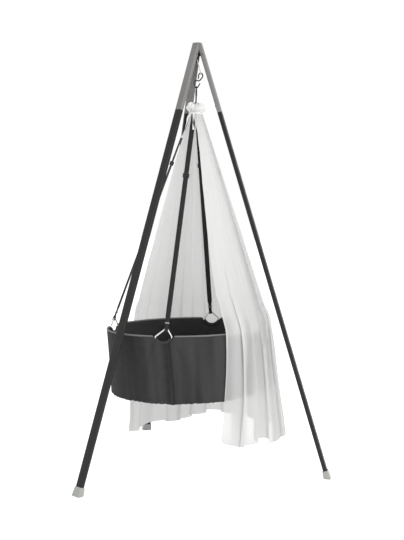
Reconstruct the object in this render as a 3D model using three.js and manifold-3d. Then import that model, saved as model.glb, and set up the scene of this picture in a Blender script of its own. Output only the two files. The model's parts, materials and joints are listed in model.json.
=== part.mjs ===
// Hanging baby cradle: an oval fabric cradle on four webbing straps under a folding
// three-legged stand, with a gauze veil. Millimetres, +Z up, floor at zero.
import * as THREE from "three";
import { mergeVertices } from "three/addons/utils/BufferGeometryUtils.js";
import Module from "manifold-3d";

const wasm = await Module();
wasm.setup();

// Stand
const STAND_HEIGHT = 1799; // flat top of the head above the floor
const LEGS_MEET_ABOVE_TOP = 19; // where the leg centre lines cross, over the flat top
const LEG_BEYOND_RIM = 33.5; // leg centre lines outside the cradle's end, at rim height
const LEG_WIDTH = 33;
const LEG_DEPTH = 17.5;
const LEG_CORNER = 4;
const LEG_WALL = 1.8;
const UPPER_LEG_LENGTH = 320; // grey top piece, from the crossing point
const SPIGOT_LENGTH = 70;
const BACK_LEG_AZIMUTH = 90;
const LEG_SPACING_ANGLE = 120;
const FIT = 0.3; // clearance between pieces that touch

// Head bracket and leg hinges
const HINGE_BELOW_TOP = 49;
const HINGE_PIN_RADIUS = 2.5;
const HINGE_PIN_RECESS = 0.8;
const LUG_THICKNESS = 8;
const LUG_RADIUS = 5.2;
const LUG_SLOT_REACH = 9;
const BOSS_RADIUS = 8.5;
const BOSS_ABOVE_HINGE = 13;
const BOSS_BELOW_HINGE = 12;
const TONGUE_WIDTH = 14;
const TONGUE_THICKNESS = 6;
const TONGUE_LENGTH = 17;
const TONGUE_HOLE_RADIUS = 3.6;
const TONGUE_HOLE_FROM_END = 7.5;

// Joint screws and feet
const SCREW_HEAD_RADIUS = 4.5;
const SCREW_HEAD_HEIGHT = 2.4;
const SCREW_SHANK_RADIUS = 2.2;
const SCREW_ABOVE_JOINT = 28;
const SCREW_SOCKET_RADIUS = 1.8;
const SCREW_SOCKET_DEPTH = 1.4;
const FOOT_HEIGHT = 33;
const FOOT_WALL = 2.2;
const FOOT_FLARE = 2.6;
const FOOT_SOLE = 7;

// Hanging chain
const HANG_PLANE_AZIMUTH = -18.3; // the hook's flat side faces the front
const SLING_CORD_RADIUS = 2;
const SLING_BEND_RADIUS = 6.8;
const SLING_SEAT = 1.3; // the hook wire falls away on both sides over the sling
const HOOK_WIRE_RADIUS = 2.6;
const SLING_DROP = 52.5; // from the tongue's hole to the hook wire that the sling holds
const HOOK_TOP_OFFSET = 16;
const HOOK_LENGTH = 62; // between the wire's centres, above and below
const HOOK_UPPER_HALF_WIDTH = 8.6;
const HOOK_LOWER_HALF_WIDTH = 10.6;
const DROP_CORD_RADIUS = 3;
const DROP_EYE_CORD_RADIUS = 2.4;
const DROP_EYE_RADIUS = 6.4;
const DROP_EYE_SEAT = 0.9; // the hook wire rises on both sides under the eye
const DROP_CORD_LENGTH = 71; // from the hook's lower wire to the middle of the yoke
const YOKE_RADIUS = 21;
const YOKE_THICKNESS = 8;
const KNOT_RADIUS = 7;

// Cradle
const CRADLE_YAW = 16; // long axis, from +X
const STRAP_DROP = 940; // from the middle of the yoke to the rim
const CRADLE_DEPTH = 271.5;
const RIM_HALF_LENGTH = 378;
const RIM_HALF_WIDTH = 241;
const BASE_WITHIN_ENDS = 36; // the base is shorter than the rim at each end
const BASE_BEYOND_SIDES = 18; // and wider at each side
const WALL_EASE_POWER = 1.15; // above 1 the wall stands steeper near the base
const WALL_THICKNESS = 5;
const FLOOR_THICKNESS = 4;
const BASE_EDGE_ROUNDING = 10;
const PIPING_RADIUS = 3.4;
const BOARD_THICKNESS = 6;
const BOARD_MARGIN = 9;
const MATTRESS_THICKNESS = 50;
const MATTRESS_MARGIN = 8;
const MATTRESS_EDGE = 16;

// Rings on the rim
const RING_ANGLE = 49; // place on the rim oval, as its parameter
const LEFT_RING_ANGLE = 42;
const FRONT_RING_ANGLE = 49.5;
const RING_WIRE_RADIUS = 3;
const RING_HALF_WIDTH = 34.5;
const RING_APEX_ABOVE_RIM = 38; // where the two straight sides would meet
const RING_APEX_ALONG = 8; // towards the middle of the long side, as the strap pulls
const FRONT_RING_APEX_ALONG = 12;
const RING_LEAN = 6; // outwards, from upright
const RING_BELOW_RIM = 25;
const RING_CROWN_SHARE = 0.22;
const RING_CORNER_SHARE = 0.1;
const RING_INSET = 4;
const SLEEVE_RADIUS = 5.8;
const SLEEVE_PLAY = 0.8;
const SLEEVE_STOP = 5;

// Straps
const STRAP_WIDTH = 20;
const STRAP_NARROW_WIDTH = 14;
const WEBBING = 1.5;
const STRAP_SLOT_RADIUS = 13;
const STRAP_SLOT_ANGLE = 37; // from the cradle's long axis
const STRAP_HEM = 5;
const STRAP_LOOP_SAG = 8.5;
const BUCKLE_SHARES = { right: 0.3, back: 0.27, left: 0.265, front: 0.32 }; // from the top
const STRAP_TWIST_SHARE = 0.2;
const BUCKLE_LENGTH = 17;
const BUCKLE_WALL = 2.8;
const BUCKLE_TRAVEL_PLAY = 0.7;
const BUCKLE_BAR = 3;
const KEEPER_ABOVE_RING = 24;
const KEEPER_LENGTH = 5;
const KEEPER_WALL = 1.6;
const STRAP_TAPER = 14;

// Veil
const VEIL_THICKNESS = 1.6;
const VEIL_NECK_RADIUS = 33;
const VEIL_BELOW_YOKE = 46;
const VEIL_LENGTH = 1385;
const VEIL_TUCK = 6;
const VEIL_OVER_RIM = 18;
const VEIL_HEM_RISE = 14;
const VEIL_FRONT_FLARE = 54;
const VEIL_BACK_FLARE = 16;
const VEIL_RIM_PLEAT = 11;
const VEIL_HEM_PLEAT = 30;
const VEIL_FROM_AZIMUTH = -66;
const VEIL_TO_AZIMUTH = 137;
const PLEAT_WIDTH_SHARES = [0.155, 0.115, 0.1, 0.13, 0.085, 0.12, 0.1, 0.115, 0.08];
const RUFFLE_WAVE = 3.4;
const RUFFLE_TOP_RADIUS = 24;
const RUFFLE_SKIN = 2;
const RIBBON_WIDTH = 9;
const RIBBON_THICKNESS = 1.2;
const RIBBON_LONG = 92;
const RIBBON_SHORT = 58;
const RIBBON_LONG_AZIMUTH = 172; // in the cradle's frame
const RIBBON_SHORT_AZIMUTH = -112;

// Sizes worked out from those above
const MEET_HEIGHT = STAND_HEIGHT + LEGS_MEET_ABOVE_TOP;
const HINGE_HEIGHT = STAND_HEIGHT - HINGE_BELOW_TOP;
const TONGUE_HOLE_HEIGHT = HINGE_HEIGHT - BOSS_BELOW_HINGE - TONGUE_LENGTH + TONGUE_HOLE_FROM_END;
const HOOK_TOP_HEIGHT = TONGUE_HOLE_HEIGHT - SLING_DROP;
const HOOK_BOTTOM_HEIGHT = HOOK_TOP_HEIGHT - HOOK_LENGTH;
const YOKE_HEIGHT = HOOK_BOTTOM_HEIGHT - DROP_CORD_LENGTH;
const RIM_HEIGHT = YOKE_HEIGHT - STRAP_DROP;
const BASE_HEIGHT = RIM_HEIGHT - CRADLE_DEPTH;
const BASE_HALF_LENGTH = RIM_HALF_LENGTH - BASE_WITHIN_ENDS;
const BASE_HALF_WIDTH = RIM_HALF_WIDTH + BASE_BEYOND_SIDES;
const VEIL_NECK_HEIGHT = YOKE_HEIGHT - VEIL_BELOW_YOKE;
const VEIL_HEM_HEIGHT = VEIL_NECK_HEIGHT - VEIL_LENGTH;
const SPLAY = Math.atan((RIM_HALF_LENGTH + LEG_BEYOND_RIM) / (MEET_HEIGHT - RIM_HEIGHT));
const FOOT_CIRCLE_RADIUS = MEET_HEIGHT * Math.tan(SPLAY);
const LEG_LENGTH = MEET_HEIGHT / Math.cos(SPLAY);
const HINGE_RADIUS = (MEET_HEIGHT - HINGE_HEIGHT) * Math.tan(SPLAY);
const LEG_AZIMUTHS = {
  front_left: BACK_LEG_AZIMUTH + LEG_SPACING_ANGLE,
  right: BACK_LEG_AZIMUTH - LEG_SPACING_ANGLE,
  back: BACK_LEG_AZIMUTH,
};
const SLING_BEND_RISE =
  SLING_BEND_RADIUS - Math.sqrt(SLING_BEND_RADIUS ** 2 - (TONGUE_THICKNESS / 2) ** 2);
const SLING_TOP_HEIGHT =
  TONGUE_HOLE_HEIGHT - TONGUE_HOLE_RADIUS + SLING_CORD_RADIUS + SLING_BEND_RISE + 2 * FIT;
const RING_CROWN = RING_APEX_ABOVE_RIM * (1 - RING_CROWN_SHARE / 2);
const VEIL_SLOPE =
  (RIM_HALF_LENGTH + VEIL_OVER_RIM + VEIL_RIM_PLEAT) / (VEIL_NECK_HEIGHT - RIM_HEIGHT);
const RUFFLE_INNER = VEIL_NECK_RADIUS + VEIL_THICKNESS + FIT + VEIL_TUCK * VEIL_SLOPE;
const RUFFLE_OUTER = RUFFLE_INNER + RUFFLE_SKIN + RUFFLE_WAVE;
const CUT = 2 * LEG_WIDTH; // overrun of every cutting solid

const rad = THREE.MathUtils.degToRad;
const at = (x, y, z) => new THREE.Vector3(x, y, z);

// A closed three.js geometry as a solid, with its faces pointing out.
function solid(geometry, matrix = new THREE.Matrix4()) {
  const bare = geometry.clone().applyMatrix4(matrix);
  bare.deleteAttribute("normal");
  bare.deleteAttribute("uv");
  const merged = mergeVertices(bare, FIT / 1000);
  const build = (triVerts) =>
    new wasm.Manifold(
      new wasm.Mesh({ numProp: 3, vertProperties: merged.attributes.position.array, triVerts }),
    );
  const triVerts = new Uint32Array(merged.index.array);
  const made = build(triVerts);
  return made.volume() > 0 ? made : build(triVerts.reverse());
}

function geometryOf(body) {
  const mesh = body.getMesh();
  const geometry = new THREE.BufferGeometry();
  geometry.setAttribute("position", new THREE.BufferAttribute(mesh.vertProperties, 3));
  geometry.setIndex(new THREE.BufferAttribute(mesh.triVerts, 1));
  geometry.computeVertexNormals();
  return geometry;
}

// Skin over a row of rings with the same number of points; closed joins last to first.
function loft(rings, closed = false) {
  const count = rings[0].length;
  const points = rings.flat();
  const index = [];
  const spans = closed ? rings.length : rings.length - 1;
  for (let i = 0; i < spans; i++) {
    for (let j = 0; j < count; j++) {
      const next = (j + 1) % count;
      const [a, b] = [i * count + j, i * count + next];
      const above = ((i + 1) % rings.length) * count;
      index.push(a, b, above + next, a, above + next, above + j);
    }
  }
  if (!closed) {
    for (const [ring, turned] of [[0, true], [rings.length - 1, false]]) {
      const centre = points.push(
        rings[ring].reduce((sum, p) => sum.add(p), at(0, 0, 0)).divideScalar(count),
      ) - 1;
      for (let j = 0; j < count; j++) {
        const [a, b] = [ring * count + j, ring * count + ((j + 1) % count)];
        index.push(centre, turned ? b : a, turned ? a : b);
      }
    }
  }
  return new THREE.BufferGeometry().setFromPoints(points).setIndex(index);
}

function roundedRectangle(width, height, corner) {
  const [x, y] = [width / 2, height / 2];
  const shape = new THREE.Shape();
  shape.moveTo(-x + corner, -y);
  shape.lineTo(x - corner, -y);
  shape.absarc(x - corner, -y + corner, corner, -Math.PI / 2, 0);
  shape.lineTo(x, y - corner);
  shape.absarc(x - corner, y - corner, corner, 0, Math.PI / 2);
  shape.lineTo(-x + corner, y);
  shape.absarc(-x + corner, y - corner, corner, Math.PI / 2, Math.PI);
  shape.lineTo(-x, -y + corner);
  shape.absarc(-x + corner, -y + corner, corner, Math.PI, 1.5 * Math.PI);
  return shape;
}

function circle(radius) {
  const shape = new THREE.Shape();
  shape.absarc(0, 0, radius, 0, 2 * Math.PI);
  return shape;
}

// A section drawn in X and Y, pulled along Z from one height to another.
function prism(shape, from, to, segments = 1) {
  const options = { depth: to - from, bevelEnabled: false, curveSegments: segments };
  const geometry = new THREE.ExtrudeGeometry(shape, options);
  return geometry.translate(0, 0, from);
}

function tube(curve, radius, steps, sides = 8) {
  const options = { steps, bevelEnabled: false, extrudePath: curve, curveSegments: sides / 2 };
  return new THREE.ExtrudeGeometry(circle(radius), options);
}

// A round wire along a closed flat outline in X and Y.
function closedWire(outline, radius, sides = 6) {
  const rings = outline.map((point, i) => {
    const before = outline[(i + outline.length - 1) % outline.length];
    const after = outline[(i + 1) % outline.length];
    const side = at(after.y - before.y, before.x - after.x, 0).normalize();
    return Array.from({ length: sides }, (_, k) => {
      const turn = (2 * Math.PI * k) / sides;
      return at(point.x, point.y, 0)
        .addScaledVector(side, radius * Math.cos(turn))
        .setZ(radius * Math.sin(turn));
    });
  });
  return loft(rings, true);
}

// Columns of a frame: where its X, Y and Z point, and where its origin lies.
function frameAt(xAxis, yAxis, zAxis, origin) {
  return new THREE.Matrix4().makeBasis(xAxis, yAxis, zAxis).setPosition(origin);
}

const finish = (color, roughness, metalness = 0) =>
  new THREE.MeshStandardMaterial({ color, roughness, metalness });
const MATERIALS = {
  grey_paint: finish(0x97938f, 0.5, 0.3),
  charcoal_paint: finish(0x343331, 0.45, 0.2),
  foot_plastic: finish(0xa6aaa4, 0.6),
  dark_steel: finish(0x2a2a2a, 0.4, 0.8),
  bright_wire: finish(0xc9c9c6, 0.22, 0.9),
  white_cord: finish(0xf0efec, 0.9),
  black_cord: finish(0x222222, 0.85),
  webbing: finish(0x1f1f1f, 0.85),
  cradle_fabric: finish(0x3f3f3f, 0.95),
  piping: finish(0x8e8e8c, 0.85),
  board: finish(0xb99a6b, 0.7),
  mattress_cover: finish(0xe9e7e1, 0.95),
  veil_gauze: finish(0xf3f3f2, 0.9),
};

const stand = new THREE.Group();

function piece(name, body, material, parent = stand) {
  const mesh = new THREE.Mesh(geometryOf(body), MATERIALS[material]);
  mesh.name = name;
  parent.add(mesh);
  return mesh;
}

// Legs. Each is drawn in the plane of its azimuth: X outwards, Z up.
const alongLeg = new THREE.Matrix4()
  .makeTranslation(0, 0, MEET_HEIGHT)
  .multiply(new THREE.Matrix4().makeRotationY(-SPLAY));
const legSection = roundedRectangle(LEG_DEPTH, LEG_WIDTH, LEG_CORNER);
const boreSection = roundedRectangle(
  LEG_DEPTH - 2 * LEG_WALL,
  LEG_WIDTH - 2 * LEG_WALL,
  LEG_CORNER - LEG_WALL,
);
const spigotSection = roundedRectangle(
  LEG_DEPTH - 2 * LEG_WALL - 2 * FIT,
  LEG_WIDTH - 2 * LEG_WALL - 2 * FIT,
  LEG_CORNER - LEG_WALL - FIT,
);
const hollowSection = roundedRectangle(
  LEG_DEPTH - 4 * LEG_WALL,
  LEG_WIDTH - 4 * LEG_WALL,
  (LEG_CORNER - LEG_WALL) / 2,
);
const joint = -UPPER_LEG_LENGTH;
const screwHeight = joint + SCREW_ABOVE_JOINT;
const legEnd = -LEG_LENGTH + (FOOT_SOLE + LEG_DEPTH * Math.sin(SPLAY)) / Math.cos(SPLAY);

// A round bar across the leg: along its width for the pin, through its depth for the screw.
const acrossWidth = new THREE.Matrix4()
  .makeTranslation(HINGE_RADIUS, 0, HINGE_HEIGHT)
  .multiply(new THREE.Matrix4().makeRotationX(Math.PI / 2));
const throughDepth = alongLeg
  .clone()
  .multiply(new THREE.Matrix4().makeTranslation(0, 0, screwHeight))
  .multiply(new THREE.Matrix4().makeRotationY(-Math.PI / 2));
const bar = (radius, from, to, matrix, segments = 4) =>
  solid(prism(circle(radius), from, to, segments), matrix);

function upperLeg() {
  const third = Math.PI / 3;
  const wedge = new THREE.Shape();
  const start = FIT / 2 / Math.sin(third);
  wedge.moveTo(start, 0);
  wedge.lineTo(start + CUT, -CUT * Math.tan(third));
  wedge.lineTo(start + FOOT_CIRCLE_RADIUS, -CUT * Math.tan(third));
  wedge.lineTo(start + FOOT_CIRCLE_RADIUS, CUT * Math.tan(third));
  wedge.lineTo(start + CUT, CUT * Math.tan(third));
  const slot = roundedRectangle(2 * LUG_SLOT_REACH, LUG_THICKNESS + 2 * FIT, FIT);
  const slotPlace = new THREE.Matrix4()
    .makeTranslation(HINGE_RADIUS + LUG_RADIUS + FIT, 0, HINGE_HEIGHT)
    .multiply(new THREE.Matrix4().makeRotationY(-Math.PI / 2));
  return solid(prism(legSection, joint + FIT / 2, CUT), alongLeg)
    .intersect(solid(prism(wedge, 0, STAND_HEIGHT)))
    .subtract(solid(prism(boreSection, joint - CUT, joint + SPIGOT_LENGTH + FIT), alongLeg))
    .subtract(solid(prism(slot, 0, CUT), slotPlace))
    .subtract(bar(HINGE_PIN_RADIUS + FIT, -CUT, CUT, acrossWidth))
    .subtract(bar(SCREW_SHANK_RADIUS + FIT, 0, CUT, throughDepth));
}

function lowerLeg() {
  return solid(prism(legSection, legEnd, joint - FIT / 2), alongLeg)
    .add(solid(prism(spigotSection, joint - CUT, joint + SPIGOT_LENGTH), alongLeg))
    .subtract(solid(prism(hollowSection, legEnd - CUT, joint + CUT + SPIGOT_LENGTH), alongLeg))
    .subtract(bar(SCREW_SHANK_RADIUS + FIT, 0, CUT, throughDepth));
}

function jointScrew() {
  const face = LEG_DEPTH / 2 + FIT;
  return bar(SCREW_HEAD_RADIUS, face, face + SCREW_HEAD_HEIGHT, throughDepth)
    .add(bar(SCREW_SHANK_RADIUS, 2 * LEG_WALL, face + SCREW_HEAD_HEIGHT / 2, throughDepth))
    .subtract(
      bar(
        SCREW_SOCKET_RADIUS,
        face + SCREW_HEAD_HEIGHT - SCREW_SOCKET_DEPTH,
        face + SCREW_HEAD_HEIGHT + CUT,
        throughDepth,
        2,
      ),
    );
}

// A flared cap whose sole lies flat on the floor while its socket follows the leg.
function foot() {
  const ring = (grow, height, level) => {
    const section = roundedRectangle(LEG_DEPTH + 2 * grow, LEG_WIDTH + 2 * grow, LEG_CORNER);
    const centre = (MEET_HEIGHT - height) * Math.tan(SPLAY);
    return section.getPoints(1).slice(0, -1).map(({ x, y }) =>
      at(centre + x / Math.cos(SPLAY), y, height + (level ? 0 : x * Math.sin(SPLAY))),
    );
  };
  const cap = loft([
    ring(FOOT_WALL + FOOT_FLARE, 0, true),
    ring(FOOT_WALL + FOOT_FLARE, FOOT_SOLE, true),
    ring(FOOT_WALL, FOOT_HEIGHT, false),
  ]);
  const socket = roundedRectangle(LEG_DEPTH + 2 * FIT, LEG_WIDTH + 2 * FIT, LEG_CORNER);
  return solid(cap).subtract(solid(prism(socket, legEnd - FIT, legEnd + CUT), alongLeg));
}

function hingePin() {
  const half = LEG_WIDTH / 2 - HINGE_PIN_RECESS;
  return bar(HINGE_PIN_RADIUS, -half, half, acrossWidth);
}

for (const [side, azimuth] of Object.entries(LEG_AZIMUTHS)) {
  const leg = new THREE.Group();
  leg.rotation.z = rad(azimuth);
  stand.add(leg);
  piece(`leg_upper_${side}`, upperLeg(), "grey_paint", leg);
  piece(`leg_lower_${side}`, lowerLeg(), "charcoal_paint", leg);
  piece(`leg_foot_${side}`, foot(), "foot_plastic", leg);
  piece(`leg_screw_${side}`, jointScrew(), "dark_steel", leg);
  piece(`leg_hinge_pin_${side}`, hingePin(), "dark_steel", leg);
}

// Head bracket: a boss with a lug into each leg, and a holed tongue for the sling below.
const hangPlane = new THREE.Matrix4().makeRotationZ(rad(HANG_PLANE_AZIMUTH));
const upright = new THREE.Matrix4().makeRotationX(Math.PI / 2);

function headBracket() {
  const bottom = HINGE_HEIGHT - BOSS_BELOW_HINGE;
  let bracket = solid(prism(circle(BOSS_RADIUS), bottom, HINGE_HEIGHT + BOSS_ABOVE_HINGE, 6));
  const lug = new THREE.Shape();
  lug.moveTo(0, -LUG_RADIUS);
  lug.lineTo(HINGE_RADIUS, -LUG_RADIUS);
  lug.absarc(HINGE_RADIUS, 0, LUG_RADIUS, -Math.PI / 2, Math.PI / 2);
  lug.lineTo(0, LUG_RADIUS);
  const hole = new THREE.Path();
  hole.absarc(HINGE_RADIUS, 0, HINGE_PIN_RADIUS + FIT, 0, 2 * Math.PI, true);
  lug.holes.push(hole);
  for (const azimuth of Object.values(LEG_AZIMUTHS)) {
    const turn = new THREE.Matrix4()
      .makeRotationZ(rad(azimuth))
      .multiply(new THREE.Matrix4().makeTranslation(0, 0, HINGE_HEIGHT))
      .multiply(upright);
    bracket = bracket.add(solid(prism(lug, -LUG_THICKNESS / 2, LUG_THICKNESS / 2, 5), turn));
  }
  const tongue = roundedRectangle(TONGUE_WIDTH, 2 * TONGUE_LENGTH, TONGUE_WIDTH / 3);
  const eye = new THREE.Path();
  const eyeHeight = TONGUE_HOLE_HEIGHT - bottom;
  eye.absarc(0, eyeHeight, TONGUE_HOLE_RADIUS, 0, 2 * Math.PI, true);
  tongue.holes.push(eye);
  const place = hangPlane
    .clone()
    .multiply(new THREE.Matrix4().makeTranslation(0, 0, bottom))
    .multiply(upright);
  return bracket.add(
    solid(prism(tongue, -TONGUE_THICKNESS / 2, TONGUE_THICKNESS / 2, 5), place),
  );
}
piece("head_bracket", headBracket(), "dark_steel");

// Hanging chain, drawn in the hook's own plane: X to the right, Z up, Y away.
const chain = new THREE.Group();
chain.rotation.z = rad(HANG_PLANE_AZIMUTH);
stand.add(chain);

function hangingSling() {
  const top = at(0, 0, SLING_TOP_HEIGHT);
  const held = at(HOOK_TOP_OFFSET, 0, HOOK_TOP_HEIGHT);
  const along = top.clone().sub(held).normalize();
  const under = HOOK_WIRE_RADIUS + SLING_SEAT + SLING_CORD_RADIUS;
  const bottom = held.clone().addScaledVector(along, -under);
  const length = top.distanceTo(bottom);
  const outline = new THREE.Path();
  const low = SLING_BEND_RADIUS - length / 2;
  outline.absarc(0, -low, SLING_BEND_RADIUS, 0, Math.PI);
  outline.absarc(0, low, SLING_BEND_RADIUS, Math.PI, 2 * Math.PI);
  const across = at(0, 1, 0);
  const place = frameAt(
    across,
    along,
    across.clone().cross(along),
    top.clone().add(bottom).divideScalar(2),
  );
  return solid(closedWire(outline.getPoints(6), SLING_CORD_RADIUS), place);
}
piece("hanging_sling", hangingSling(), "white_cord", chain);

// Bent wire in an S: a small eye above and a larger pear-shaped eye below.
function hangingHook() {
  const lift = HOOK_TOP_HEIGHT - HOOK_BOTTOM_HEIGHT;
  const [up, low, offset] = [HOOK_UPPER_HALF_WIDTH, HOOK_LOWER_HALF_WIDTH, HOOK_TOP_OFFSET];
  const upperShares = [
    [-1.02, 0.58],
    [-1, 0.76],
    [-0.8, 0.91],
    [0, 1],
    [0.8, 0.92],
    [1, 0.78],
    [0.35, 0.62],
    [-0.75, 0.47],
  ];
  const lowerShares = [
    [-0.25, 0.5],
    [-0.95, 0.4],
    [-0.8, 0.17],
    [-0.42, 0.03],
    [0, 0],
    [0.42, 0.03],
    [0.85, 0.15],
    [1.35, 0.33],
  ];
  const bend = (x, share) => at(x, 0, HOOK_BOTTOM_HEIGHT + share * lift);
  const route = [
    ...upperShares.map(([wide, high]) => bend(offset + wide * up, high)),
    ...lowerShares.map(([wide, high]) => bend(wide * low, high)),
  ];
  const curve = new THREE.CatmullRomCurve3(route, false, "centripetal");
  return solid(tube(curve, HOOK_WIRE_RADIUS, 36, 6));
}
piece("hanging_hook", hangingHook(), "dark_steel", chain);

// Cord with a spliced eye over the hook and a stopper knot under the yoke.
function dropCord() {
  const eyeTop =
    HOOK_BOTTOM_HEIGHT + HOOK_WIRE_RADIUS + DROP_EYE_SEAT + DROP_EYE_CORD_RADIUS;
  const eyeHeight = eyeTop - DROP_EYE_RADIUS;
  const outline = new THREE.Path();
  outline.absarc(0, 0, DROP_EYE_RADIUS, 0, 2 * Math.PI);
  const eyePlace = frameAt(at(0, 1, 0), at(0, 0, 1), at(1, 0, 0), at(0, 0, eyeHeight));
  const eye = solid(closedWire(outline.getPoints(8).slice(0, -1), DROP_EYE_CORD_RADIUS), eyePlace);
  const knotHeight = YOKE_HEIGHT - YOKE_THICKNESS / 2 - FIT - KNOT_RADIUS;
  const shaft = prism(circle(DROP_CORD_RADIUS), knotHeight, eyeHeight - DROP_EYE_RADIUS, 4);
  const knot = new THREE.SphereGeometry(KNOT_RADIUS, 10, 6)
    .applyMatrix4(upright)
    .translate(0, 0, knotHeight);
  return eye.add(solid(shaft)).add(solid(knot));
}
piece("drop_cord", dropCord(), "black_cord", chain);

// Everything that hangs on the yoke shares the cradle's own frame: X along its length.
const hung = new THREE.Group();
hung.rotation.z = rad(CRADLE_YAW);
stand.add(hung);

const CORNERS = { right: [1, -1], back: [1, 1], left: [-1, 1], front: [-1, -1] };
const ringAngles = {
  right: RING_ANGLE,
  back: RING_ANGLE,
  left: LEFT_RING_ANGLE,
  front: FRONT_RING_ANGLE,
};
const apexAlong = (corner) => (corner === "front" ? FRONT_RING_APEX_ALONG : RING_APEX_ALONG);

// Where the ring, the strap and the yoke slot of one corner lie.
function cornerFrame(corner) {
  const [sx, sy] = CORNERS[corner];
  const place = rad(ringAngles[corner]);
  const angle = Math.atan2(sy * Math.sin(place), sx * Math.cos(place));
  const tangent = at(
    -RIM_HALF_LENGTH * Math.sin(angle),
    RIM_HALF_WIDTH * Math.cos(angle),
    0,
  ).normalize();
  const inwards = at(-tangent.y, tangent.x, 0);
  const rim = at(RIM_HALF_LENGTH * Math.cos(angle), RIM_HALF_WIDTH * Math.sin(angle), RIM_HEIGHT)
    .addScaledVector(inwards, WALL_THICKNESS / 2 + RING_INSET);
  const slotAngle = rad(STRAP_SLOT_ANGLE);
  const outwards = at(sx * Math.cos(slotAngle), sy * Math.sin(slotAngle), 0);
  const slot = outwards.clone().multiplyScalar(STRAP_SLOT_RADIUS).setZ(YOKE_HEIGHT);
  const bend = slot.clone().setZ(YOKE_HEIGHT - YOKE_THICKNESS);
  const up = at(0, 0, Math.cos(rad(RING_LEAN))).addScaledVector(inwards, -Math.sin(rad(RING_LEAN)));
  const middleWards = tangent.clone().multiplyScalar(sx * sy);
  const ring = frameAt(middleWards, up, middleWards.clone().cross(up), rim);
  const crown = rim
    .clone()
    .addScaledVector(up, RING_CROWN)
    .addScaledVector(middleWards, apexAlong(corner) * (1 - RING_CROWN_SHARE / 2));
  return { tangent, outwards, rim, slot, bend, up, ring, crown };
}

// Wire ring: a round belly in the fabric, and two straight sides up to a rounded crown.
const bellyRadius = (RING_HALF_WIDTH ** 2 + RING_BELOW_RIM ** 2) / (2 * RING_BELOW_RIM);
const bellyCentre = bellyRadius - RING_BELOW_RIM;
const bellyAngle = Math.atan2(-bellyCentre, RING_HALF_WIDTH);

function ringOutline(apex) {
  const [half, top] = [RING_HALF_WIDTH, RING_APEX_ABOVE_RIM];
  const [near, far] = [RING_CORNER_SHARE, RING_CROWN_SHARE];
  const soften = (near * Math.hypot(half, top)) / bellyRadius;
  const side = (end, share) => [end + share * (apex - end), share * top];
  const outline = new THREE.Path();
  outline.absarc(0, bellyCentre, bellyRadius, Math.PI - bellyAngle + soften, bellyAngle - soften);
  outline.quadraticCurveTo(half, 0, ...side(half, near));
  outline.lineTo(...side(half, 1 - far));
  outline.quadraticCurveTo(apex, top, ...side(-half, 1 - far));
  outline.lineTo(...side(-half, near));
  const last = outline.getPoint(0);
  outline.quadraticCurveTo(-half, 0, last.x, last.y);
  return outline.getPoints(5).slice(0, -1);
}

// Fabric sleeve that holds the ring's belly; it is open at both ends for the wire.
function ringSleeve() {
  const stop = SLEEVE_STOP / bellyRadius;
  const belly = new THREE.Path();
  belly.absarc(0, bellyCentre, bellyRadius, Math.PI - bellyAngle + stop, bellyAngle - stop);
  const along = belly.getPoints(4);
  const sides = 6;
  const skin = (radius) =>
    along.map((point) => {
      const out = at(point.x, point.y - bellyCentre, 0).normalize();
      return Array.from({ length: sides }, (_, k) => {
        const turn = (2 * Math.PI * k) / sides;
        return at(point.x, point.y, 0)
          .addScaledVector(out, radius * Math.cos(turn))
          .setZ(radius * Math.sin(turn));
      });
    });
  const outer = skin(SLEEVE_RADIUS);
  const inner = skin(RING_WIRE_RADIUS + SLEEVE_PLAY).reverse();
  return solid(loft([...outer, ...inner], true));
}
const sleeve = ringSleeve();

// Sections of a strap: its middle, where its width points, its width and its thickness.
function strapBody({ tangent, outwards, slot, bend, up, crown }, buckleShare) {
  const span = crown.clone().sub(bend);
  const down = span.clone().normalize();
  const acrossTop = at(-outwards.y, outwards.x, 0);
  const acrossRing = tangent.clone().addScaledVector(down, -tangent.dot(down)).normalize();
  const double = 2 * WEBBING;
  const loopTop = RING_WIRE_RADIUS + FIT + WEBBING;
  const keeperShare = 1 - (KEEPER_ABOVE_RING + loopTop) / span.length();
  const taperShare = STRAP_TAPER / span.length();
  const stepShare = BUCKLE_LENGTH / 2 / span.length();
  const section = (middle, across, along, width, thickness) => {
    const out = across.clone().cross(along).normalize();
    return [[-1, -1], [1, -1], [1, 1], [-1, 1]].map(([u, v]) =>
      middle
        .clone()
        .addScaledVector(across, (u * width) / 2)
        .addScaledVector(out, (v * thickness) / 2),
    );
  };
  const share = (t, width, thickness) => {
    const turn = Math.min(t / STRAP_TWIST_SHARE, 1);
    const across = acrossTop.clone().lerp(acrossRing, turn);
    across.addScaledVector(down, -across.dot(down)).normalize();
    return section(bend.clone().addScaledVector(span, t), across, down, width, thickness);
  };
  const straight = at(0, 0, -1);
  const hemLow = slot.clone().setZ(YOKE_HEIGHT + YOKE_THICKNESS / 2 + FIT);
  const hemHigh = hemLow.clone().setZ(hemLow.z + STRAP_HEM);
  const narrow = STRAP_NARROW_WIDTH;
  return solid(
    loft([
      section(hemHigh, acrossTop, straight, narrow, STRAP_HEM),
      section(hemLow, acrossTop, straight, narrow, STRAP_HEM),
      section(hemLow.clone().setZ(hemLow.z - FIT / 3), acrossTop, straight, narrow, WEBBING),
      section(bend, acrossTop, straight, narrow, WEBBING),
      share(STRAP_TWIST_SHARE / 4, STRAP_WIDTH, WEBBING),
      share(STRAP_TWIST_SHARE / 2, STRAP_WIDTH, WEBBING),
      share(STRAP_TWIST_SHARE, STRAP_WIDTH, WEBBING),
      share(buckleShare - stepShare / 2, STRAP_WIDTH, WEBBING),
      share(buckleShare, STRAP_WIDTH, double),
      share(keeperShare - taperShare, STRAP_WIDTH, double),
      share(keeperShare - taperShare / 3, narrow, double),
      share(1 - loopTop / span.length(), narrow, double),
    ]),
  ).add(strapLoop(tangent, up, crown));
}

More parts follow.
